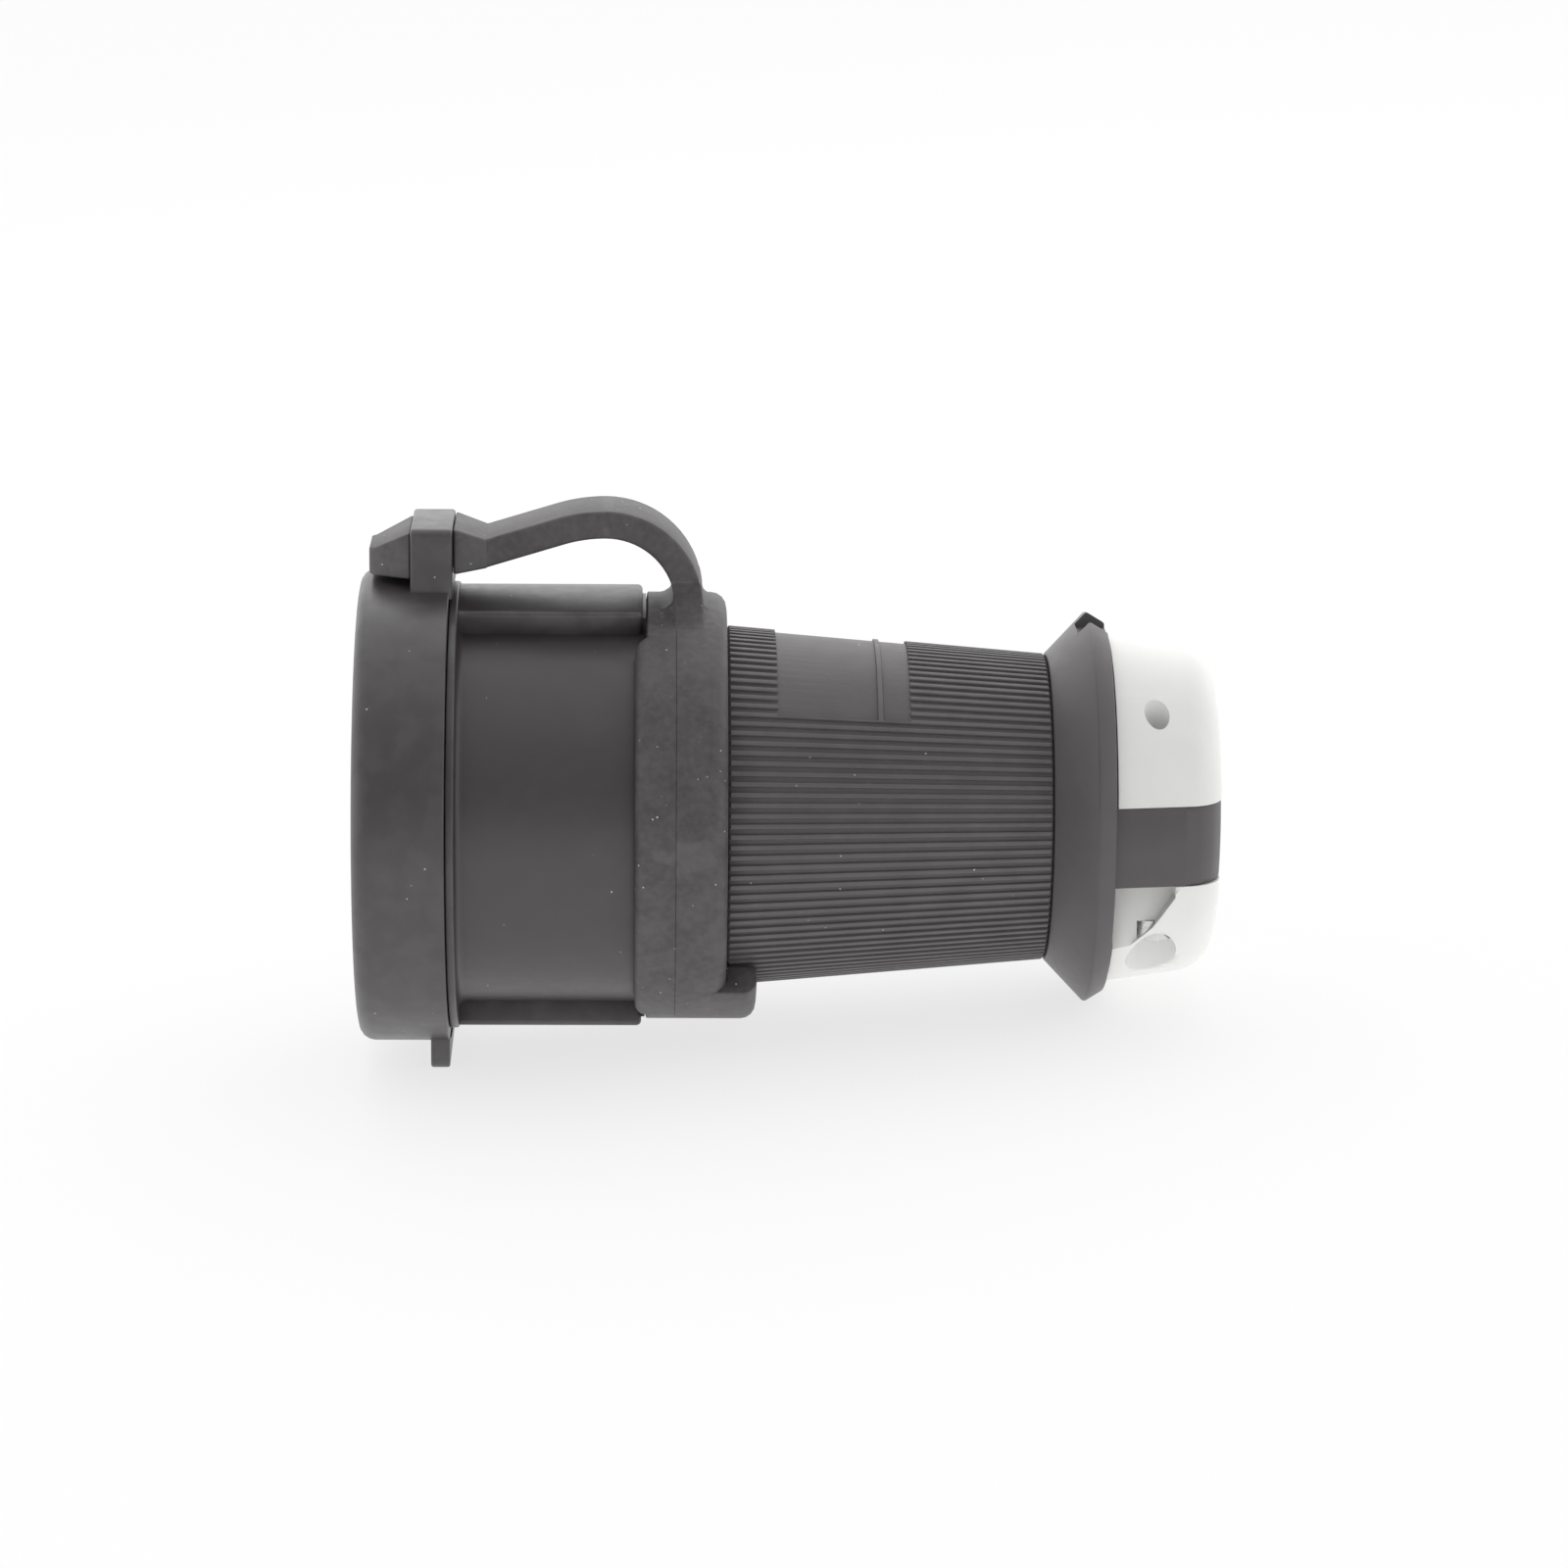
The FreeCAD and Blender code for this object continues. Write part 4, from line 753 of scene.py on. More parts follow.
@dataclass
class SocketShroud:
    """Drum round the contact face, with its stop flange, inner web and the two raised lands."""

    radius: float = 30.0
    bore: float = 27.8
    rear_bore: float = 26.9
    length: float = 51.2
    lip_inner_edge: float = 0.5
    lip_outer_edge: float = 0.6
    rear_outer_edge: float = 0.4
    rear_inner_edge: float = 0.3
    web_front: float = 26.0
    web_rear: float = 29.0
    web_bore: float = 22.8
    web_corner: float = 0.4
    web_edge: float = 0.2
    flange_front: float = 9.55
    flange_rear: float = 10.75
    flange_radius: float = 34.1
    flange_front_edge: float = 0.12
    flange_rear_edge: float = 0.35
    flange_fillet: float = 1.1
    land_radius: float = 33.7
    land_end: float = 38.45
    land_half_width: float = 10.3
    land_edge: float = 0.9
    sill_radius: float = 32.35
    sill_end: float = 38.97
    sill_inset_angle: float = 2.0

    def drum(self, bm: bmesh.types.BMesh) -> None:
        """Adds the turned wall, flange and web to the mesh.

        Args:
            bm: The mesh to add to.
        """
        turn(bm, [
            (0.0, self.bore, self.lip_inner_edge),
            (0.0, self.radius, self.lip_outer_edge),
            (self.flange_front, self.radius, 0.0),
            (self.flange_front, self.flange_radius, self.flange_front_edge),
            (self.flange_rear, self.flange_radius, self.flange_rear_edge),
            (self.flange_rear, self.radius, self.flange_fillet),
            (self.length, self.radius, self.rear_outer_edge),
            (self.length, self.rear_bore, self.rear_inner_edge),
            (self.web_rear, self.rear_bore, self.web_corner),
            (self.web_rear, self.web_bore, self.web_edge),
            (self.web_front, self.web_bore, self.web_edge),
            (self.web_front, self.bore, self.web_corner),
        ])

    def land(self, bm: bmesh.types.BMesh, middle: float) -> None:
        """Adds one raised land along the drum, with the low sill behind it.

        Args:
            bm: The mesh to add to.
            middle: Direction of the land, in degrees from +Z.
        """
        half_angle = math.degrees(math.asin(self.land_half_width / self.land_radius))
        low = (self.radius + self.bore) / 2.0
        front = (self.flange_front + self.flange_rear) / 2.0
        solid = turn_part(bm, [
            (front, low, 0.0),
            (front, self.land_radius, 0.0),
            (self.land_end, self.land_radius, 0.0),
            (self.land_end, low, 0.0),
        ], half_angle, middle)
        soften(bm, solid, self.land_edge, least_angle=60.0, segments=4)
        inside = self.land_end - self.land_edge
        turn_part(bm, [
            (inside, low, 0.0),
            (inside, self.sill_radius, 0.0),
            (self.sill_end, self.sill_radius, 0.0),
            (self.sill_end, low, 0.0),
        ], half_angle - self.sill_inset_angle, middle)

    def build(self, finishes: Finishes) -> bpy.types.Object:
        """Builds the shroud.

        Args:
            finishes: The materials, by name.

        Returns:
            The finished piece.
        """
        bm = bmesh.new()
        self.drum(bm)
        for middle in (0.0, 180.0):
            self.land(bm, middle)
        return publish(bm, "drum_shell", Body.COUPLER, finishes["black_nylon"],
                       ("socket_shroud",))


@dataclass
class ClosureCap:
    """Moulded cap over the socket's rim, with its thumb tab and the loop for the strap."""

    front: float = -4.3
    rear: float = 9.4
    radius: float = 36.0
    inner_radius: float = 33.4
    floor: float = -1.9
    edge: float = 2.3
    rear_edge: float = 0.22
    mouth_edge: float = 0.15
    floor_edge: float = 0.5
    rib_outer: float = 26.2
    rib_inner: float = 24.2
    rib_top: float = -0.4
    rib_edge: float = 0.4
    rib_root: float = 0.2
    lap: float = 0.2
    tab_start: float = 6.5
    tab_half_width: float = 12.6
    tab_low: float = -38.5
    tab_corner: float = 1.4
    tab_edge: float = 0.35
    loop_start: float = 3.65
    loop_end: float = 9.95
    loop_half_width: float = 8.7
    loop_top: float = 44.4
    loop_corner: float = 1.2
    loop_edge: float = 0.45
    loop_foot_half_width: float = 8.95
    loop_foot_height: float = 2.4
    loop_foot_bend: float = 2.2
    window_half_width: float = 4.9
    window_low: float = 37.64
    window_high: float = 41.84
    window_corner: float = 0.5

    def cup(self, bm: bmesh.types.BMesh) -> None:
        """Adds the turned cup with the rib that the seal sits round.

        Args:
            bm: The mesh to add to.
        """
        turn(bm, [
            (self.front, 0.0, 0.0),
            (self.front, self.radius, self.edge),
            (self.rear, self.radius, self.rear_edge),
            (self.rear, self.inner_radius, self.mouth_edge),
            (self.floor, self.inner_radius, self.floor_edge),
            (self.floor, self.rib_outer, self.rib_root),
            (self.rib_top, self.rib_outer, self.rib_edge),
            (self.rib_top, self.rib_inner, self.rib_edge),
            (self.floor, self.rib_inner, self.rib_root),
            (self.floor, 0.0, 0.0),
        ], closed=False)

    def thumb_tab(self, bm: bmesh.types.BMesh) -> None:
        """Adds the plate that the thumb lifts, below the cup's rear edge.

        Args:
            bm: The mesh to add to.
        """
        root = self.lap - self.inner_radius
        wide = self.tab_half_width
        solid = plate(bm, [
            (-wide, root, 0.0),
            (-wide, self.tab_low, self.tab_corner),
            (wide, self.tab_low, self.tab_corner),
            (wide, root, 0.0),
        ], self.tab_start, self.rear - self.tab_start)
        soften(bm, solid, self.tab_edge)

    def strap_loop(self, bm: bmesh.types.BMesh) -> None:
        """Adds the loop on top of the cup, with the window that the strap's neck goes through.

        Args:
            bm: The mesh to add to.
        """
        width = self.loop_half_width
        foot = self.loop_foot_half_width
        root = self.inner_radius + self.lap
        bend = self.radius + self.loop_foot_height
        outer = [
            (-foot, root, 0.0),
            (-width, bend, self.loop_foot_bend),
            (-width, self.loop_top, self.loop_corner),
            (width, self.loop_top, self.loop_corner),
            (width, bend, self.loop_foot_bend),
            (foot, root, 0.0),
        ]
        half = self.window_half_width
        inner = [
            (-half, self.window_low, self.window_corner),
            (-half, self.window_high, self.window_corner),
            (half, self.window_high, self.window_corner),
            (half, self.window_low, self.window_corner),
        ]
        before = set(bm.verts)
        rims = []
        for corners in (outer, inner):
            rims += edges_among(bm, outline(bm, corners, Plane.ACROSS))
        faces = bmesh.ops.bridge_loops(bm, edges=rims)["faces"]
        grown = bmesh.ops.extrude_face_region(bm, geom=faces, use_keep_orig=True)["geom"]
        bmesh.ops.translate(bm, verts=only(grown, bmesh.types.BMVert),
                            vec=(self.loop_end - self.loop_start, 0.0, 0.0))
        solid = added(bm, before)
        bmesh.ops.translate(bm, verts=solid, vec=(self.loop_start, 0.0, 0.0))
        soften(bm, solid, self.loop_edge, least_angle=50.0)

    def build(self, finishes: Finishes) -> bpy.types.Object:
        """Builds the cap.

        Args:
            finishes: The materials, by name.

        Returns:
            The finished piece.
        """
        bm = bmesh.new()
        self.cup(bm)
        self.thumb_tab(bm)
        self.strap_loop(bm)
        return publish(bm, "cap_shell", Body.CAP, finishes["black_nylon"],
                       ("closure_cap",))


@dataclass
class Tether:
    """One rubber moulding: collar on the drum, strap over to the cap, and the barb in its loop."""

    bore: float = 30.1
    radius: float = 32.6
    start: float = 37.4
    end: float = 51.2
    front_edge: float = 1.6
    rear_edge: float = 2.4
    bore_edge: float = 0.2
    seam_place: float = 43.5
    seam_width: float = 0.16
    notch_depth: float = 1.6
    notch_half_width: float = 13.8
    notch_corner: float = 1.5
    notch_crispness: float = 0.2
    notch_shares: tuple[float, ...] = (0.0, 0.06, 0.25, 0.5, 0.75, 1.0)
    tongue_end: float = 55.8
    tongue_bore: float = 27.9
    tongue_half_angle: float = 44.0
    tongue_corner: float = 2.2
    tongue_bore_edge: float = 0.3
    tongue_edge: float = 0.35
    tongue_lap: float = 0.2
    strap_place: float = 45.45
    strap_thickness: float = 4.2
    strap_width: float = 13.0
    strap_edge: float = 0.55
    strap_sink: float = 1.6
    root_rise: float = 4.4
    root_sink: float = 0.07
    root_cover: float = 0.02
    root_half_width: float = 13.6
    root_front: float = 2.6
    root_rear: float = 1.2
    root_lap: float = 0.1
    rise_radius: float = 12.55
    arch_top: float = 44.75
    crown_radius: float = 23.53
    foot_radius: float = 12.01
    foot_place: float = 11.2
    neck_height: float = 39.74
    neck_thickness: float = 3.6
    neck_width: float = 9.2
    neck_start: float = 3.25
    neck_end: float = 10.35
    shoulder_start: float = 10.05
    shoulder_end: float = 15.35
    shoulder_half_width: float = 7.3
    shoulder_drop: float = 2.54
    shoulder_rise: float = 4.46
    shoulder_offset: float = 0.5
    shoulder_edge: float = 0.5
    barb_front: float = -2.65
    barb_tip: float = 0.8
    barb_rear: float = 3.55
    barb_front_half_width: float = 4.5
    barb_front_drop: float = 2.9
    barb_half_width: float = 5.4
    barb_drop: float = 3.0
    barb_front_rise: float = 1.2
    barb_rear_low_half_width: float = 8.4
    barb_rear_high_half_width: float = 7.1
    barb_rear_rise: float = 3.86
    bend_start: float = 19.0
    bend_end: float = 10.0

    def collar(self, bm: bmesh.types.BMesh) -> None:
        """Adds the band round the drum, with its parting line and a notch at each land.

        Args:
            bm: The mesh to add to, still empty.
        """
        half = self.seam_width / 2.0
        turn(bm, [
            (self.start, self.bore, self.bore_edge),
            (self.start, self.radius, self.front_edge),
            (self.seam_place - half, self.radius, 0.0),
            (self.seam_place, self.radius - half, 0.0),
            (self.seam_place + half, self.radius, 0.0),
            (self.end, self.radius, self.rear_edge),
            (self.end, self.bore, self.bore_edge),
        ], steps=144)
        for side in (-1.0, 1.0):
            for share in self.notch_shares:
                reach = self.notch_half_width + self.notch_corner * share
                crease(bm, (0.0, side * reach, 0.0), (0.0, 1.0, 0.0))
        self.notch(bm)

    def notch(self, bm: bmesh.types.BMesh) -> None:
        """Pushes the collar's front edge back beside the lands, with rounded corners.

        Args:
            bm: The mesh that holds the collar alone.
        """
        last = self.notch_half_width + self.notch_corner
        for vert in bm.verts:
            out = abs(vert.co.y)
            if vert.co.x > self.start + self.front_edge + 0.1 or out > last:
                continue
            if out < self.notch_half_width + TOUCH:
                pushed = (vert.co.x - self.start) * self.notch_crispness
                vert.co.x = self.start + self.notch_depth + pushed
            else:
                fall = math.sqrt(self.notch_corner ** 2 - (last - out) ** 2)
                vert.co.x += self.notch_corner - fall

    def tongue(self, bm: bmesh.types.BMesh) -> None:
        """Adds the lip that reaches back under the grip's front end.

        Args:
            bm: The mesh to add to.
        """
        root = self.end - self.rear_edge - self.tongue_lap
        solid = turn_part(bm, [
            (root, self.bore + self.tongue_lap, 0.0),
            (root, self.radius, 0.0),
            (self.tongue_end, self.radius, self.tongue_corner),
            (self.tongue_end, self.tongue_bore, self.tongue_bore_edge),
            (self.end, self.tongue_bore, 0.0),
            (self.end, self.bore + self.tongue_lap, 0.0),
        ], self.tongue_half_angle, middle=180.0, steps=40)
        soften(bm, solid, self.tongue_edge, least_angle=50.0)

    def strap(self, bm: bmesh.types.BMesh) -> None:
        """Adds the flat strap, swept up from the collar, over the arch and down to the loop.

        Args:
            bm: The mesh to add to.
        """
        half = self.strap_thickness / 2.0
        wide = self.strap_width / 2.0
        edge = self.strap_edge
        sunk = self.strap_sink
        drawn = outline(bm, [(-wide, -half, edge), (-wide, half, edge), (wide, half, edge),
                             (wide, -half, edge)], Plane.ACROSS, segments=3)
        face = bm.faces.new(ordered(drawn))
        bmesh.ops.rotate(bm, verts=face.verts[:], cent=(0, 0, 0),
                         matrix=Matrix.Rotation(math.pi / 2, 3, "Y"))
        bmesh.ops.translate(bm, verts=face.verts[:],
                            vec=(self.strap_place, 0.0, self.radius - sunk))
        arch_place = self.strap_place - self.rise_radius
        run = arch_place - self.foot_place
        drop = self.crown_radius + self.foot_radius - (self.arch_top - self.neck_height)
        bends = self.crown_radius + self.foot_radius
        slope = math.atan2(run, drop) - math.acos(bends / math.hypot(run, drop))
        straight = math.sqrt(run ** 2 + drop ** 2 - bends ** 2)
        tip = self.carry(bm, [face],
                         (0.0, 0.0, self.arch_top - self.rise_radius - self.radius + sunk))
        tip = self.swing(bm, tip, (arch_place, self.arch_top - self.rise_radius),
                         -math.pi / 2, 18)
        tip = self.swing(bm, tip, (arch_place, self.arch_top - self.crown_radius), -slope, 8)
        tip = self.carry(bm, tip, (-straight * math.cos(slope), 0.0,
                                   -straight * math.sin(slope)))
        self.swing(bm, tip, (self.foot_place, self.neck_height + self.foot_radius), slope, 6)

    @staticmethod
    def carry(bm: bmesh.types.BMesh, faces: list[bmesh.types.BMFace],
              step: Point) -> list[bmesh.types.BMFace]:
        """Extrudes faces straight.

        Args:
            bm: The mesh.
            faces: The faces to extrude.
            step: How far, along each axis.

        Returns:
            The faces at the far end.
        """
        grown = bmesh.ops.extrude_face_region(bm, geom=faces)["geom"]
        bmesh.ops.translate(bm, verts=only(grown, bmesh.types.BMVert), vec=step)
        return only(grown, bmesh.types.BMFace)

    @staticmethod
    def swing(bm: bmesh.types.BMesh, faces: list[bmesh.types.BMFace],
              centre: tuple[float, float], angle: float,
              steps: int) -> list[bmesh.types.BMFace]:
        """Extrudes faces round a line that runs across the coupler.

        Args:
            bm: The mesh.
            faces: The faces to extrude.
            centre: Place along the axis and height of the line.
            angle: How far, in radians.
            steps: Steps of the sweep.

        Returns:
            The faces at the far end.
        """
        geometry = list(faces) + [edge for face in faces for edge in face.edges]
        geometry += [vert for face in faces for vert in face.verts]
        last = bmesh.ops.spin(bm, geom=list(dict.fromkeys(geometry)),
                              cent=(centre[0], 0.0, centre[1]), axis=(0, 1, 0), angle=angle,
                              steps=steps, use_merge=False, use_duplicate=False)["geom_last"]
        return only(last, bmesh.types.BMFace)

    def root(self, bm: bmesh.types.BMesh) -> None:
        """Adds the foot of the strap, turned with the collar and then bent with the strap.

        Args:
            bm: The mesh to add to.
        """
        front = self.strap_place - self.strap_thickness / 2.0 - self.root_cover
        rear = self.strap_place + self.strap_thickness / 2.0 + self.root_cover
        base = self.radius - self.root_sink
        low = (self.bore + self.radius) / 2.0
        high = self.radius + self.root_rise
        outer = math.degrees(math.asin(self.root_half_width / base))
        solid = turn_part(bm, [
            (front - self.root_front - self.root_lap, low, 0.0),
            (front - self.root_front - self.root_lap, base, 0.0),
            (front, base, self.root_front),
            (front, high, self.strap_edge),
            (rear, high, self.strap_edge),
            (rear, base, self.root_rear),
            (rear + self.root_rear + self.root_lap, base, 0.0),
            (rear + self.root_rear + self.root_lap, low, 0.0),
        ], outer, steps=64)
        self.hollow(solid, base, outer)

    def hollow(self, solid: list[bmesh.types.BMVert], base: float, outer: float) -> None:
        """Runs the sides of the strap's foot down into the collar in a hollow curve.

        Args:
            solid: The foot's vertices.
            base: The radius that the foot stands on.
            outer: Half of the foot's sweep round the collar, in degrees.
        """
        wide = self.strap_width / 2.0 + self.root_cover
        inner = math.asin(wide / base)
        bend_place = self.strap_place - self.rise_radius
        bend_height = self.arch_top - self.rise_radius
        for vert in solid:
            above = math.hypot(vert.co.y, vert.co.z) - base
            turned = abs(math.atan2(vert.co.y, vert.co.z))
            if above < TOUCH:
                continue
            bend = max(0.0, (turned - inner) / (math.radians(outer) - inner)) * math.pi / 2.0
            across = base * math.sin(turned)
            if bend > 0.0:
                across = wide + (self.root_half_width - wide) * (1.0 - math.cos(bend))
            vert.co.y = math.copysign(across, vert.co.y)
            vert.co.z = math.sqrt(base ** 2 - across ** 2) + above * (1.0 - math.sin(bend))
            lift = max(0.0, vert.co.z - bend_height)
            vert.co.x = bend_place + math.sqrt((vert.co.x - bend_place) ** 2 - lift ** 2)

    @staticmethod
    def block(bm: bmesh.types.BMesh, sections: list[tuple[float, float, float, float, float]],
              edge: float = 0.35) -> None:
        """Adds a moulded block through sections across the coupler.

        Args:
            bm: The mesh to add to.
            sections: For each, its place along the axis, its half width at the bottom and at
                the top, and the heights of the two.
            edge: How far the rounding of its edges reaches.
        """
        before = set(bm.verts)
        rims = []
        for place, low_half, high_half, low, high in sections:
            drawn = outline(bm, [(-low_half, low, 0.0), (low_half, low, 0.0),
                                 (high_half, high, 0.0), (-high_half, high, 0.0)],
                            Plane.ACROSS)
            bmesh.ops.translate(bm, verts=drawn, vec=(place, 0.0, 0.0))
            rims.append(edges_among(bm, drawn))
        for near, far in zip(rims, rims[1:]):
            bmesh.ops.bridge_loops(bm, edges=near + far)
        for rim in (rims[0], rims[-1]):
            bmesh.ops.edgenet_fill(bm, edges=rim)
        soften(bm, added(bm, before), edge, least_angle=25.0)

    def barb(self, bm: bmesh.types.BMesh) -> None:
        """Adds the shoulder behind the cap's loop, the neck through it and the barb before it.

        Args:
            bm: The mesh to add to.
        """
        neck = self.neck_height
        half = self.neck_width / 2.0
        thin = self.neck_thickness / 2.0
        foot = self.strap_thickness / 2.0
        wide = self.strap_width / 2.0
        self.block(bm, [
            (self.neck_start, half, half, neck - thin, neck + thin),
            (self.neck_end, half, half, neck - thin, neck + thin),
        ])
        self.block(bm, [
            (self.shoulder_start, self.shoulder_half_width, self.shoulder_half_width,
             neck - self.shoulder_drop, neck + self.shoulder_rise),
            (self.shoulder_end, wide, wide, neck + self.shoulder_offset - foot,
             neck + self.shoulder_offset + foot),
        ], edge=self.shoulder_edge)
        self.block(bm, [
            (self.barb_front, self.barb_front_half_width, self.barb_front_half_width,
             neck - self.barb_front_drop, neck + self.barb_front_rise),
            (self.barb_front + self.barb_tip, self.barb_half_width, self.barb_half_width,
             neck - self.barb_drop, neck + self.barb_front_rise),
            (self.barb_rear, self.barb_rear_low_half_width, self.barb_rear_high_half_width,
             neck - self.barb_drop, neck + self.barb_rear_rise),
        ])

    def build(self, finishes: Finishes) -> bpy.types.Object:
        """Builds the tether.

        Args:
            finishes: The materials, by name.

        Returns:
            The finished piece, which rides on no body and lies between the coupler and the cap.
        """
        bm = bmesh.new()
        self.collar(bm)
        self.tongue(bm)
        self.strap(bm)
        self.root(bm)
        self.barb(bm)
        piece = publish(bm, "tether_moulding", None,
                        finishes["tether_rubber"], ("tether",))
        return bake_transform(piece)


@dataclass
class GripSleeve:
    """Tapered elastomer sleeve with straight ribs all round and a plain panel on top."""

    start: float = 51.35
    end: float = 99.8
    front_radius: float = 27.5
    rear_radius: float = 23.4
    wall: float = 2.1
    ribs: int = 108
    rib_depth: float = 0.45
    rib_shape: tuple[float, ...] = (0.08, 0.0, 0.0, 0.0, 0.0, 0.08,
                                    0.92, 1.0, 1.0, 1.0, 1.0, 0.92)
    end_drop: float = 0.35
    end_length: float = 0.3
    panel_start: float = 58.65
    panel_end: float = 78.55
    panel_half_angle: float = 46.0
    line_start: float = 73.65
    line_end: float = 74.45
    line_height: float = 0.35
    edge: float = 0.05

    def crest(self, along: float) -> float:
        """Radius of the ribs' crests at a place along the axis."""
        share = (along - self.start) / (self.end - self.start)
        return self.front_radius + (self.rear_radius - self.front_radius) * share

    def stations(self) -> list[tuple[float, float, float]]:
        """Lists the sleeve's rings.

        Returns:
            For each ring, its place along the axis, how far it drops at the sleeve's ends, and
            its depth on the panel, below zero where the ribs go on right round.
        """
        plain = self.rib_depth
        line = plain - self.line_height
        ribbed = -1.0
        places = [(self.start, self.end_drop, ribbed),
                  (self.start + self.end_length, 0.0, ribbed)]
        for place in (self.panel_start - self.edge, self.panel_end + self.edge):
            places.append((place, 0.0, ribbed))
        for place in (self.panel_start + self.edge, self.line_start - self.edge,
                      self.line_end + self.edge, self.panel_end - self.edge):
            places.append((place, 0.0, plain))
        for place in (self.line_start + self.edge, self.line_end - self.edge):
            places.append((place, 0.0, line))
        places += [(self.end - self.end_length, 0.0, ribbed),
                   (self.end, self.end_drop, ribbed)]
        return sorted(places)

    def rib_point(self, index: int) -> tuple[float, float]:
        """Places one point of a ring.

        Args:
            index: Which point.

        Returns:
            Its angle from +Z, and its depth below the crest.
        """
        steps = len(self.rib_shape)
        return (math.tau * index / (self.ribs * steps),
                self.rib_depth * self.rib_shape[index % steps])

    def build(self, finishes: Finishes) -> bpy.types.Object:
        """Builds the sleeve.

        Args:
            finishes: The materials, by name.

        Returns:
            The finished piece.
        """
        bm = bmesh.new()
        count = self.ribs * len(self.rib_shape)
        bmesh.ops.create_circle(bm, cap_ends=False, radius=1.0, segments=count)
        bm.verts.ensure_lookup_table()
        ring = bm.verts[:]
        first = None
        for place, drop, panel in self.stations():
            if first is None:
                first = ring
            else:
                ring = self.next_ring(bm, ring)
            for index, vert in enumerate(ring):
                angle, depth = self.rib_point(index)
                from_top = abs((math.degrees(angle) + 180.0) % 360.0 - 180.0)
                if panel >= 0.0 and from_top < self.panel_half_angle:
                    depth = panel
                radius = self.crest(place) - drop - depth * (1.0 - drop)
                vert.co = (place, radius * math.sin(angle), radius * math.cos(angle))
        for place in (self.end, self.start):
            ring = self.next_ring(bm, ring)
            radius = self.crest(place) - self.wall
            for index, vert in enumerate(ring):
                angle, _ = self.rib_point(index)
                vert.co = (place, radius * math.sin(angle), radius * math.cos(angle))
        bmesh.ops.bridge_loops(bm, edges=self.rim(ring) + self.rim(first))
        return publish(bm, "ribbed_grip", Body.COUPLER,
                       finishes["grip_elastomer"], ("grip_sleeve",))

    @staticmethod
    def rim(ring: list[bmesh.types.BMVert]) -> list[bmesh.types.BMEdge]:
        """Finds the edges between neighbours of a ring.

        Args:
            ring: The ring's vertices.

        Returns:
            Its edges.
        """
        members = set(ring)
        found = [edge for vert in ring for edge in vert.link_edges
                 if edge.verts[0] in members and edge.verts[1] in members]
        return list(dict.fromkeys(found))

    def next_ring(self, bm: bmesh.types.BMesh,
                  ring: list[bmesh.types.BMVert]) -> list[bmesh.types.BMVert]:
        """Extrudes a ring.

        Args:
            bm: The mesh.
            ring: The ring's vertices.

        Returns:
            The new ring's vertices, in the same order.
        """
        bmesh.ops.extrude_edge_only(bm, edges=self.rim(ring))
        members = set(ring)
        grown = []
        for vert in ring:
            beyond = reversed([edge.other_vert(vert) for edge in vert.link_edges])
            grown.append(next(v for v in beyond if v not in members and len(v.link_faces) == 2))
        return grown


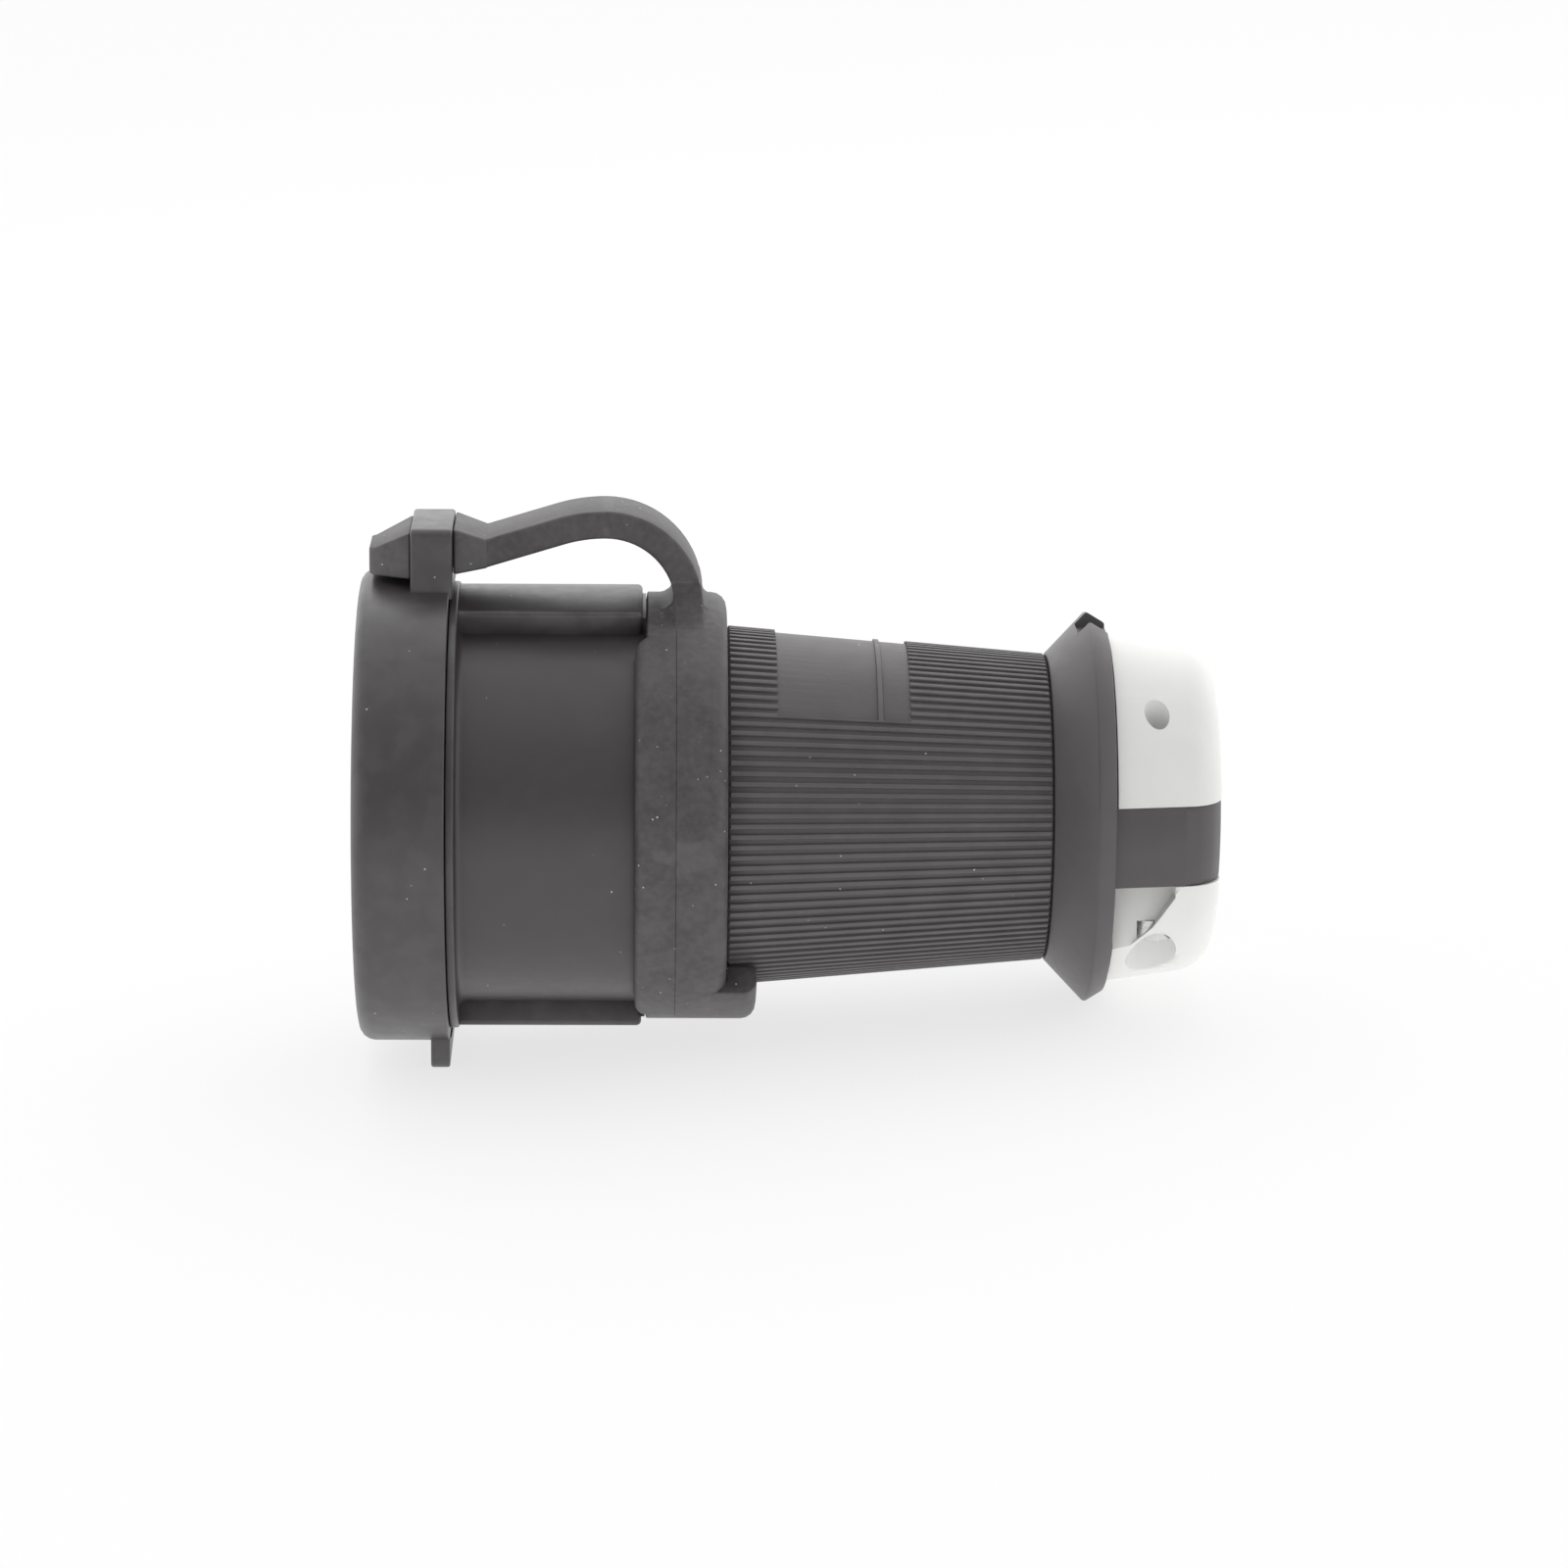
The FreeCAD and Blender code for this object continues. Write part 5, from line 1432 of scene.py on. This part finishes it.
@dataclass
class RearBody:
    """Housing under the grip, with the cable throat, the hand guard's flare and the cheeks."""

    start: float = 33.0
    spigot_radius: float = 26.7
    spigot_bore: float = 23.8
    drum_end: float = 51.2
    core_front: float = 25.3
    core_rear: float = 21.2
    core_wall: float = 2.7
    grip_end: float = 99.95
    grip_radius: float = 23.4
    crest_place: float = 106.1
    crest_radius: float = 29.9
    rim_place: float = 108.9
    rim_radius: float = 28.2
    throat: float = 16.5
    throat_start: float = 95.3
    throat_end: float = 105.3
    cable_hole: float = 9.0
    fine_edge: float = 0.2
    flare_edge: float = 0.3
    crest_edge: float = 0.35
    broad_edge: float = 0.4
    notch_half_width: float = 3.4
    notch_floor: float = 27.3
    notch_start: float = 104.3
    notch_slope: float = 0.15
    cheek_end: float = 125.3
    cheek_front_radius: float = 26.7
    cheek_rear_radius: float = 24.4
    cheek_round: float = 6.0
    cheek_half_height: float = 6.0
    cheek_inner: float = 12.5
    cheek_lap: float = 1.0
    cheek_edge: float = 0.35
    boss_radius: float = 5.6
    boss_length: float = 12.0
    boss_circle: float = 18.5
    boss_angle: float = 45.0

    def shell(self, bm: bmesh.types.BMesh) -> None:
        """Adds the turned housing, from the spigot to the rim of the hand guard.

        Args:
            bm: The mesh to add to.
        """
        turn(bm, [
            (self.start, self.spigot_bore, self.fine_edge),
            (self.start, self.spigot_radius, self.broad_edge),
            (self.drum_end, self.spigot_radius, 0.0),
            (self.drum_end, self.core_front, 0.0),
            (self.grip_end, self.core_rear, 0.0),
            (self.grip_end, self.grip_radius, self.flare_edge),
            (self.crest_place, self.crest_radius, self.crest_edge),
            (self.rim_place, self.rim_radius, self.flare_edge),
            (self.rim_place, self.cable_hole, self.broad_edge),
            (self.throat_end, self.cable_hole, self.fine_edge),
            (self.throat_end, self.throat, self.fine_edge),
            (self.throat_start, self.throat, self.fine_edge),
            (self.throat_start, self.core_rear - self.core_wall, self.fine_edge),
            (self.drum_end, self.core_front - self.core_wall, 0.0),
            (self.drum_end, self.spigot_bore, 0.0),
        ], steps=144)

    def guard_notch(self, bm: bmesh.types.BMesh) -> None:
        """Sinks the notch into the top of the hand guard, behind which the clamp shows.

        Args:
            bm: The mesh that holds the housing alone.
        """
        for side in (-1.0, 1.0):
            for reach in (self.notch_half_width, self.notch_half_width + self.notch_slope):
                crease(bm, (0.0, side * reach, 0.0), (0.0, 1.0, 0.0))
        for place in (self.notch_start, self.notch_start + self.notch_slope):
            crease(bm, (place, 0.0, 0.0), (1.0, 0.0, 0.0))
        for vert in bm.verts:
            across = abs(vert.co.y) < self.notch_half_width + TOUCH
            if across and vert.co.x > self.notch_start + 0.1 and vert.co.z > self.notch_floor:
                vert.co.z = self.notch_floor

    def cheek(self, side: float) -> bmesh.types.BMesh:
        """Makes one cheek beside the jaws.

        Args:
            side: 1 for the side that +Y points to, -1 for the other.

        Returns:
            The cheek, in a mesh of its own.
        """
        bm = bmesh.new()
        front = self.throat_end + self.cheek_lap
        turn(bm, [
            (front, 0.0, 0.0),
            (front, self.cheek_front_radius, 0.0),
            (self.rim_place, self.cheek_front_radius, 0.0),
            (self.cheek_end, self.cheek_rear_radius, self.cheek_round),
            (self.cheek_end, 0.0, 0.0),
        ], closed=False, steps=144)
        bmesh.ops.remove_doubles(bm, verts=bm.verts[:], dist=WELD)
        cut_off(bm, (0.0, side * self.cheek_inner, 0.0), (0.0, -side, 0.0))
        cut_off(bm, (0.0, 0.0, self.cheek_half_height), (0.0, 0.0, 1.0))
        cut_off(bm, (0.0, 0.0, -self.cheek_half_height), (0.0, 0.0, -1.0))
        soften(bm, bm.verts[:], self.cheek_edge, least_angle=50.0, segments=2)
        return bm

    def bosses(self, bm: bmesh.types.BMesh) -> None:
        """Adds the two bosses that the assembly screws reach.

        Args:
            bm: The mesh to add to.
        """
        offset = self.boss_circle * math.sin(math.radians(self.boss_angle))
        for side in (-1.0, 1.0):
            place = Matrix.Translation((self.start + self.boss_length / 2, side * offset,
                                        side * offset))
            bmesh.ops.create_cone(bm, cap_ends=True, segments=32, radius1=self.boss_radius,
                                  radius2=self.boss_radius, depth=self.boss_length,
                                  matrix=place @ Matrix.Rotation(math.pi / 2, 4, "Y"))

    def build(self, finishes: Finishes) -> bpy.types.Object:
        """Builds the rear body.

        Args:
            finishes: The materials, by name.

        Returns:
            The finished piece.
        """
        bm = bmesh.new()
        self.shell(bm)
        self.guard_notch(bm)
        for side in (-1.0, 1.0):
            cheek = self.cheek(side)
            mesh = bpy.data.meshes.new("cheek")
            cheek.to_mesh(mesh)
            cheek.free()
            bm.from_mesh(mesh)
            bpy.data.meshes.remove(mesh)
        self.bosses(bm)
        # The housing takes the lighter copy of black nylon, whose tone is painted light on the
        # flare.
        return publish(bm, "rear_housing", Body.COUPLER, finishes["rear_nylon_painted_light"],
                       ("rear_body",))


@dataclass
class CordClamp:
    """White jaws of the cord clamp. Their screws and nuts stay as the CAD has them."""

    edge: float = 0.3
    edge_angle: float = 50.0
    edge_length: float = 4.0
    flat_angle: float = 0.5
    sharp_angle: float = 20.0

    def eased(self, node: bpy.types.Object) -> bmesh.types.BMesh:
        """Copies a jaw and rounds its long, sharp outer edges.

        Args:
            node: The CAD node of the jaw.

        Returns:
            The copy, in millimetres.
        """
        bm = bmesh.new()
        bm.from_mesh(node.data)
        bmesh.ops.scale(bm, vec=(1 / MM, 1 / MM, 1 / MM), verts=bm.verts[:])
        bmesh.ops.remove_doubles(bm, verts=bm.verts[:], dist=WELD)
        bmesh.ops.dissolve_limit(bm, angle_limit=math.radians(self.flat_angle),
                                 verts=bm.verts[:], edges=bm.edges[:])
        limit = math.radians(self.edge_angle)
        chosen = [edge for edge in bm.edges if len(edge.link_faces) == 2 and edge.is_convex
                  and edge.calc_face_angle(0.0) > limit and edge.calc_length() > self.edge_length]
        round_edges(bm, chosen, self.edge, segments=2)
        return bm

    def build(self, finishes: Finishes, nodes: dict[str, bpy.types.Object]) -> None:
        """Builds both jaws.

        Args:
            finishes: The materials, by name.
            nodes: The CAD nodes, by name.
        """
        for name, jaw, body in (("upper_clamp_jaw", "upper_jaw", Body.UPPER),
                                ("lower_clamp_jaw", "lower_jaw", Body.LOWER)):
            publish(self.eased(nodes[jaw]), name, body, finishes["white_nylon"],
                    (jaw,), sharp_angle=self.sharp_angle)


class InnerParts:
    """Pieces that stay as the CAD has them and only get their finish."""

    @staticmethod
    def build(finishes: Finishes, nodes: dict[str, bpy.types.Object], record: dict) -> None:
        """Gives every CAD node the material of its slot in the record.

        Args:
            finishes: The materials, by name.
            nodes: The CAD nodes, by name.
            record: The part's record.
        """
        for row in record["subparts"]:
            node = nodes[row["node"]]
            node.data.materials.clear()
            node.data.materials.append(finishes[row["material_slot"]])


# Stage


@dataclass(frozen=True)
class SoftLamp:
    """One square soft lamp that points at the middle of the coupler."""

    name: str
    place: Point
    size: float
    power: float
    aim: Point = (0.06, 0.0, 0.0)

    def build(self) -> None:
        """Builds the lamp."""
        data = bpy.data.lights.new(self.name, "AREA")
        data.shape = "SQUARE"
        data.size = self.size
        data.energy = self.power
        lamp = bpy.data.objects.new(self.name, data)
        lamp.location = self.place
        aim = Vector(self.aim) - Vector(self.place)
        lamp.rotation_euler = aim.to_track_quat("-Z", "Y").to_euler()
        bpy.context.scene.collection.objects.link(lamp)


@dataclass
class Studio:
    """Plain pale floor, soft light from above and a camera at the photograph's angle."""

    tab_place: float = 9.3
    tab_low: float = -38.5
    guard_place: float = 106.1
    guard_low: float = -29.9
    floor_size: float = 6.0
    floor_tone: float = 0.86
    floor_roughness: float = 0.9
    floor_glow: float = 1.28
    floor_glow_share: float = 0.73
    front_level: float = 0.42
    rear_level: float = 0.7
    right_level: float = 0.7
    aim: Point = (60.16, 0.0, 3.34)
    distance: float = 0.847
    lens: float = 127.2
    azimuth: float = -1.56
    elevation: float = 14.0
    roll: float = 0.58
    lamps: tuple[SoftLamp, ...] = (
        SoftLamp("overhead", (0.06, 0.55, 0.75), 0.8, 1.6),
        SoftLamp("left_fill", (-0.9, 0.0, 0.25), 0.6, 0.6),
    )

    def floor(self) -> None:
        """Lays the pale floor that the tab and the hand guard rest on."""
        slope = math.atan2(self.guard_low - self.tab_low, self.guard_place - self.tab_place)
        bm = bmesh.new()
        bmesh.ops.create_grid(bm, x_segments=1, y_segments=1, size=self.floor_size / 2)
        bmesh.ops.rotate(bm, verts=bm.verts[:], cent=(0, 0, 0),
                         matrix=Matrix.Rotation(-slope, 3, "Y"))
        bmesh.ops.translate(bm, verts=bm.verts[:],
                            vec=(self.tab_place * MM, 0.0, self.tab_low * MM))
        floor = object_from(bm, "floor", self.floor_material())

    def floor_material(self) -> bpy.types.Material:
        """Builds a matte pale finish that looks near white to the camera and keeps shadows.

        Returns:
            The material.
        """
        made, kit, shader = new_material("pale_floor")
        tone = self.floor_tone
        kit.fill(shader, {"Base Color": (tone, tone, tone, 1.0),
                          "Roughness": self.floor_roughness})
        glow = kit.add("ShaderNodeEmission")
        kit.fill(glow, {"Color": (1.0, 1.0, 1.0, 1.0)})
        rays = kit.add("ShaderNodeLightPath")
        strength = kit.remap(rays.outputs["Is Camera Ray"], 0.0, 1.0, self.floor_glow, 1.0)
        kit.join(strength, glow.inputs["Strength"])
        mix = kit.add("ShaderNodeMixShader")
        kit.fill(mix, {"Fac": self.floor_glow_share})
        kit.join(shader.outputs["BSDF"], mix.inputs[1])
        kit.join(glow.outputs["Emission"], mix.inputs[2])
        output = made.node_tree.nodes["Material Output"]
        kit.join(mix.outputs["Shader"], output.inputs["Surface"])
        return made

    def world(self) -> None:
        """Lights softly from behind, above and the right, with a white background."""
        world = bpy.data.worlds.new("studio")
        bpy.context.scene.world = world
        world.use_nodes = True
        kit = NodeKit(world.node_tree)
        sky = world.node_tree.nodes["Background"]
        kit.fill(sky, {"Color": (1.0, 1.0, 1.0, 1.0)})
        direction = kit.add("ShaderNodeTexCoord").outputs["Generated"]
        parts = kit.add("ShaderNodeSeparateXYZ")
        kit.join(direction, parts.inputs["Vector"])
        around = kit.remap(parts.outputs["Y"], -1.0, -0.15, self.front_level, 1.0)
        behind = kit.remap(parts.outputs["Y"], 0.2, 0.9, 0.0, self.rear_level)
        right = kit.remap(parts.outputs["X"], 0.86, 1.0, 0.0, self.right_level)
        rims = kit.maths("ADD", behind, right)
        kit.join(kit.maths("ADD", around, rims), sky.inputs["Strength"])
        white = kit.add("ShaderNodeBackground")
        kit.fill(white, {"Color": (1.0, 1.0, 1.0, 1.0)})
        rays = kit.add("ShaderNodeLightPath")
        seen = kit.maths("MAXIMUM", rays.outputs["Is Camera Ray"],
                         rays.outputs["Is Transmission Ray"])
        mix = kit.add("ShaderNodeMixShader")
        kit.join(seen, mix.inputs["Fac"])
        kit.join(sky.outputs["Background"], mix.inputs[1])
        kit.join(white.outputs["Background"], mix.inputs[2])
        kit.join(mix.outputs["Shader"], world.node_tree.nodes["World Output"].inputs["Surface"])

    def camera(self) -> None:
        """Sets the camera to the photograph's angle and framing."""
        azimuth = math.radians(self.azimuth)
        elevation = math.radians(self.elevation)
        back = Vector((math.sin(azimuth) * math.cos(elevation),
                       -math.cos(azimuth) * math.cos(elevation), math.sin(elevation)))
        data = bpy.data.cameras.new("camera")
        data.lens = self.lens
        data.sensor_width = 36.0
        data.clip_start = 0.01
        data.clip_end = 20.0
        camera = bpy.data.objects.new("camera", data)
        camera.location = Vector(self.aim) * MM + back * self.distance
        level = (-back).to_track_quat("-Z", "Y").to_matrix()
        tilt = Matrix.Rotation(math.radians(self.roll), 3, "Z")
        camera.rotation_euler = (level @ tilt).to_euler()
        bpy.context.scene.collection.objects.link(camera)
        bpy.context.scene.camera = camera

    def build(self) -> None:
        """Builds the stage."""
        self.floor()
        self.world()
        for lamp in self.lamps:
            lamp.build()
        self.camera()
        bpy.context.scene.view_settings.view_transform = "Standard"


def main() -> None:
    """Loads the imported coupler, builds each sub-assembly round it and dresses the rest."""
    logging.basicConfig(level=logging.INFO, format="%(message)s")
    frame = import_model()
    finishes = Finishes()
    InnerParts.build(finishes, frame["nodes"], frame["record"])
    SocketShroud().build(finishes)
    ClosureCap().build(finishes)
    Tether().build(finishes)
    GripSleeve().build(finishes)
    RearBody().build(finishes)
    CordClamp().build(finishes, frame["nodes"])
    Studio().build()


if __name__ == "__main__":
    main()
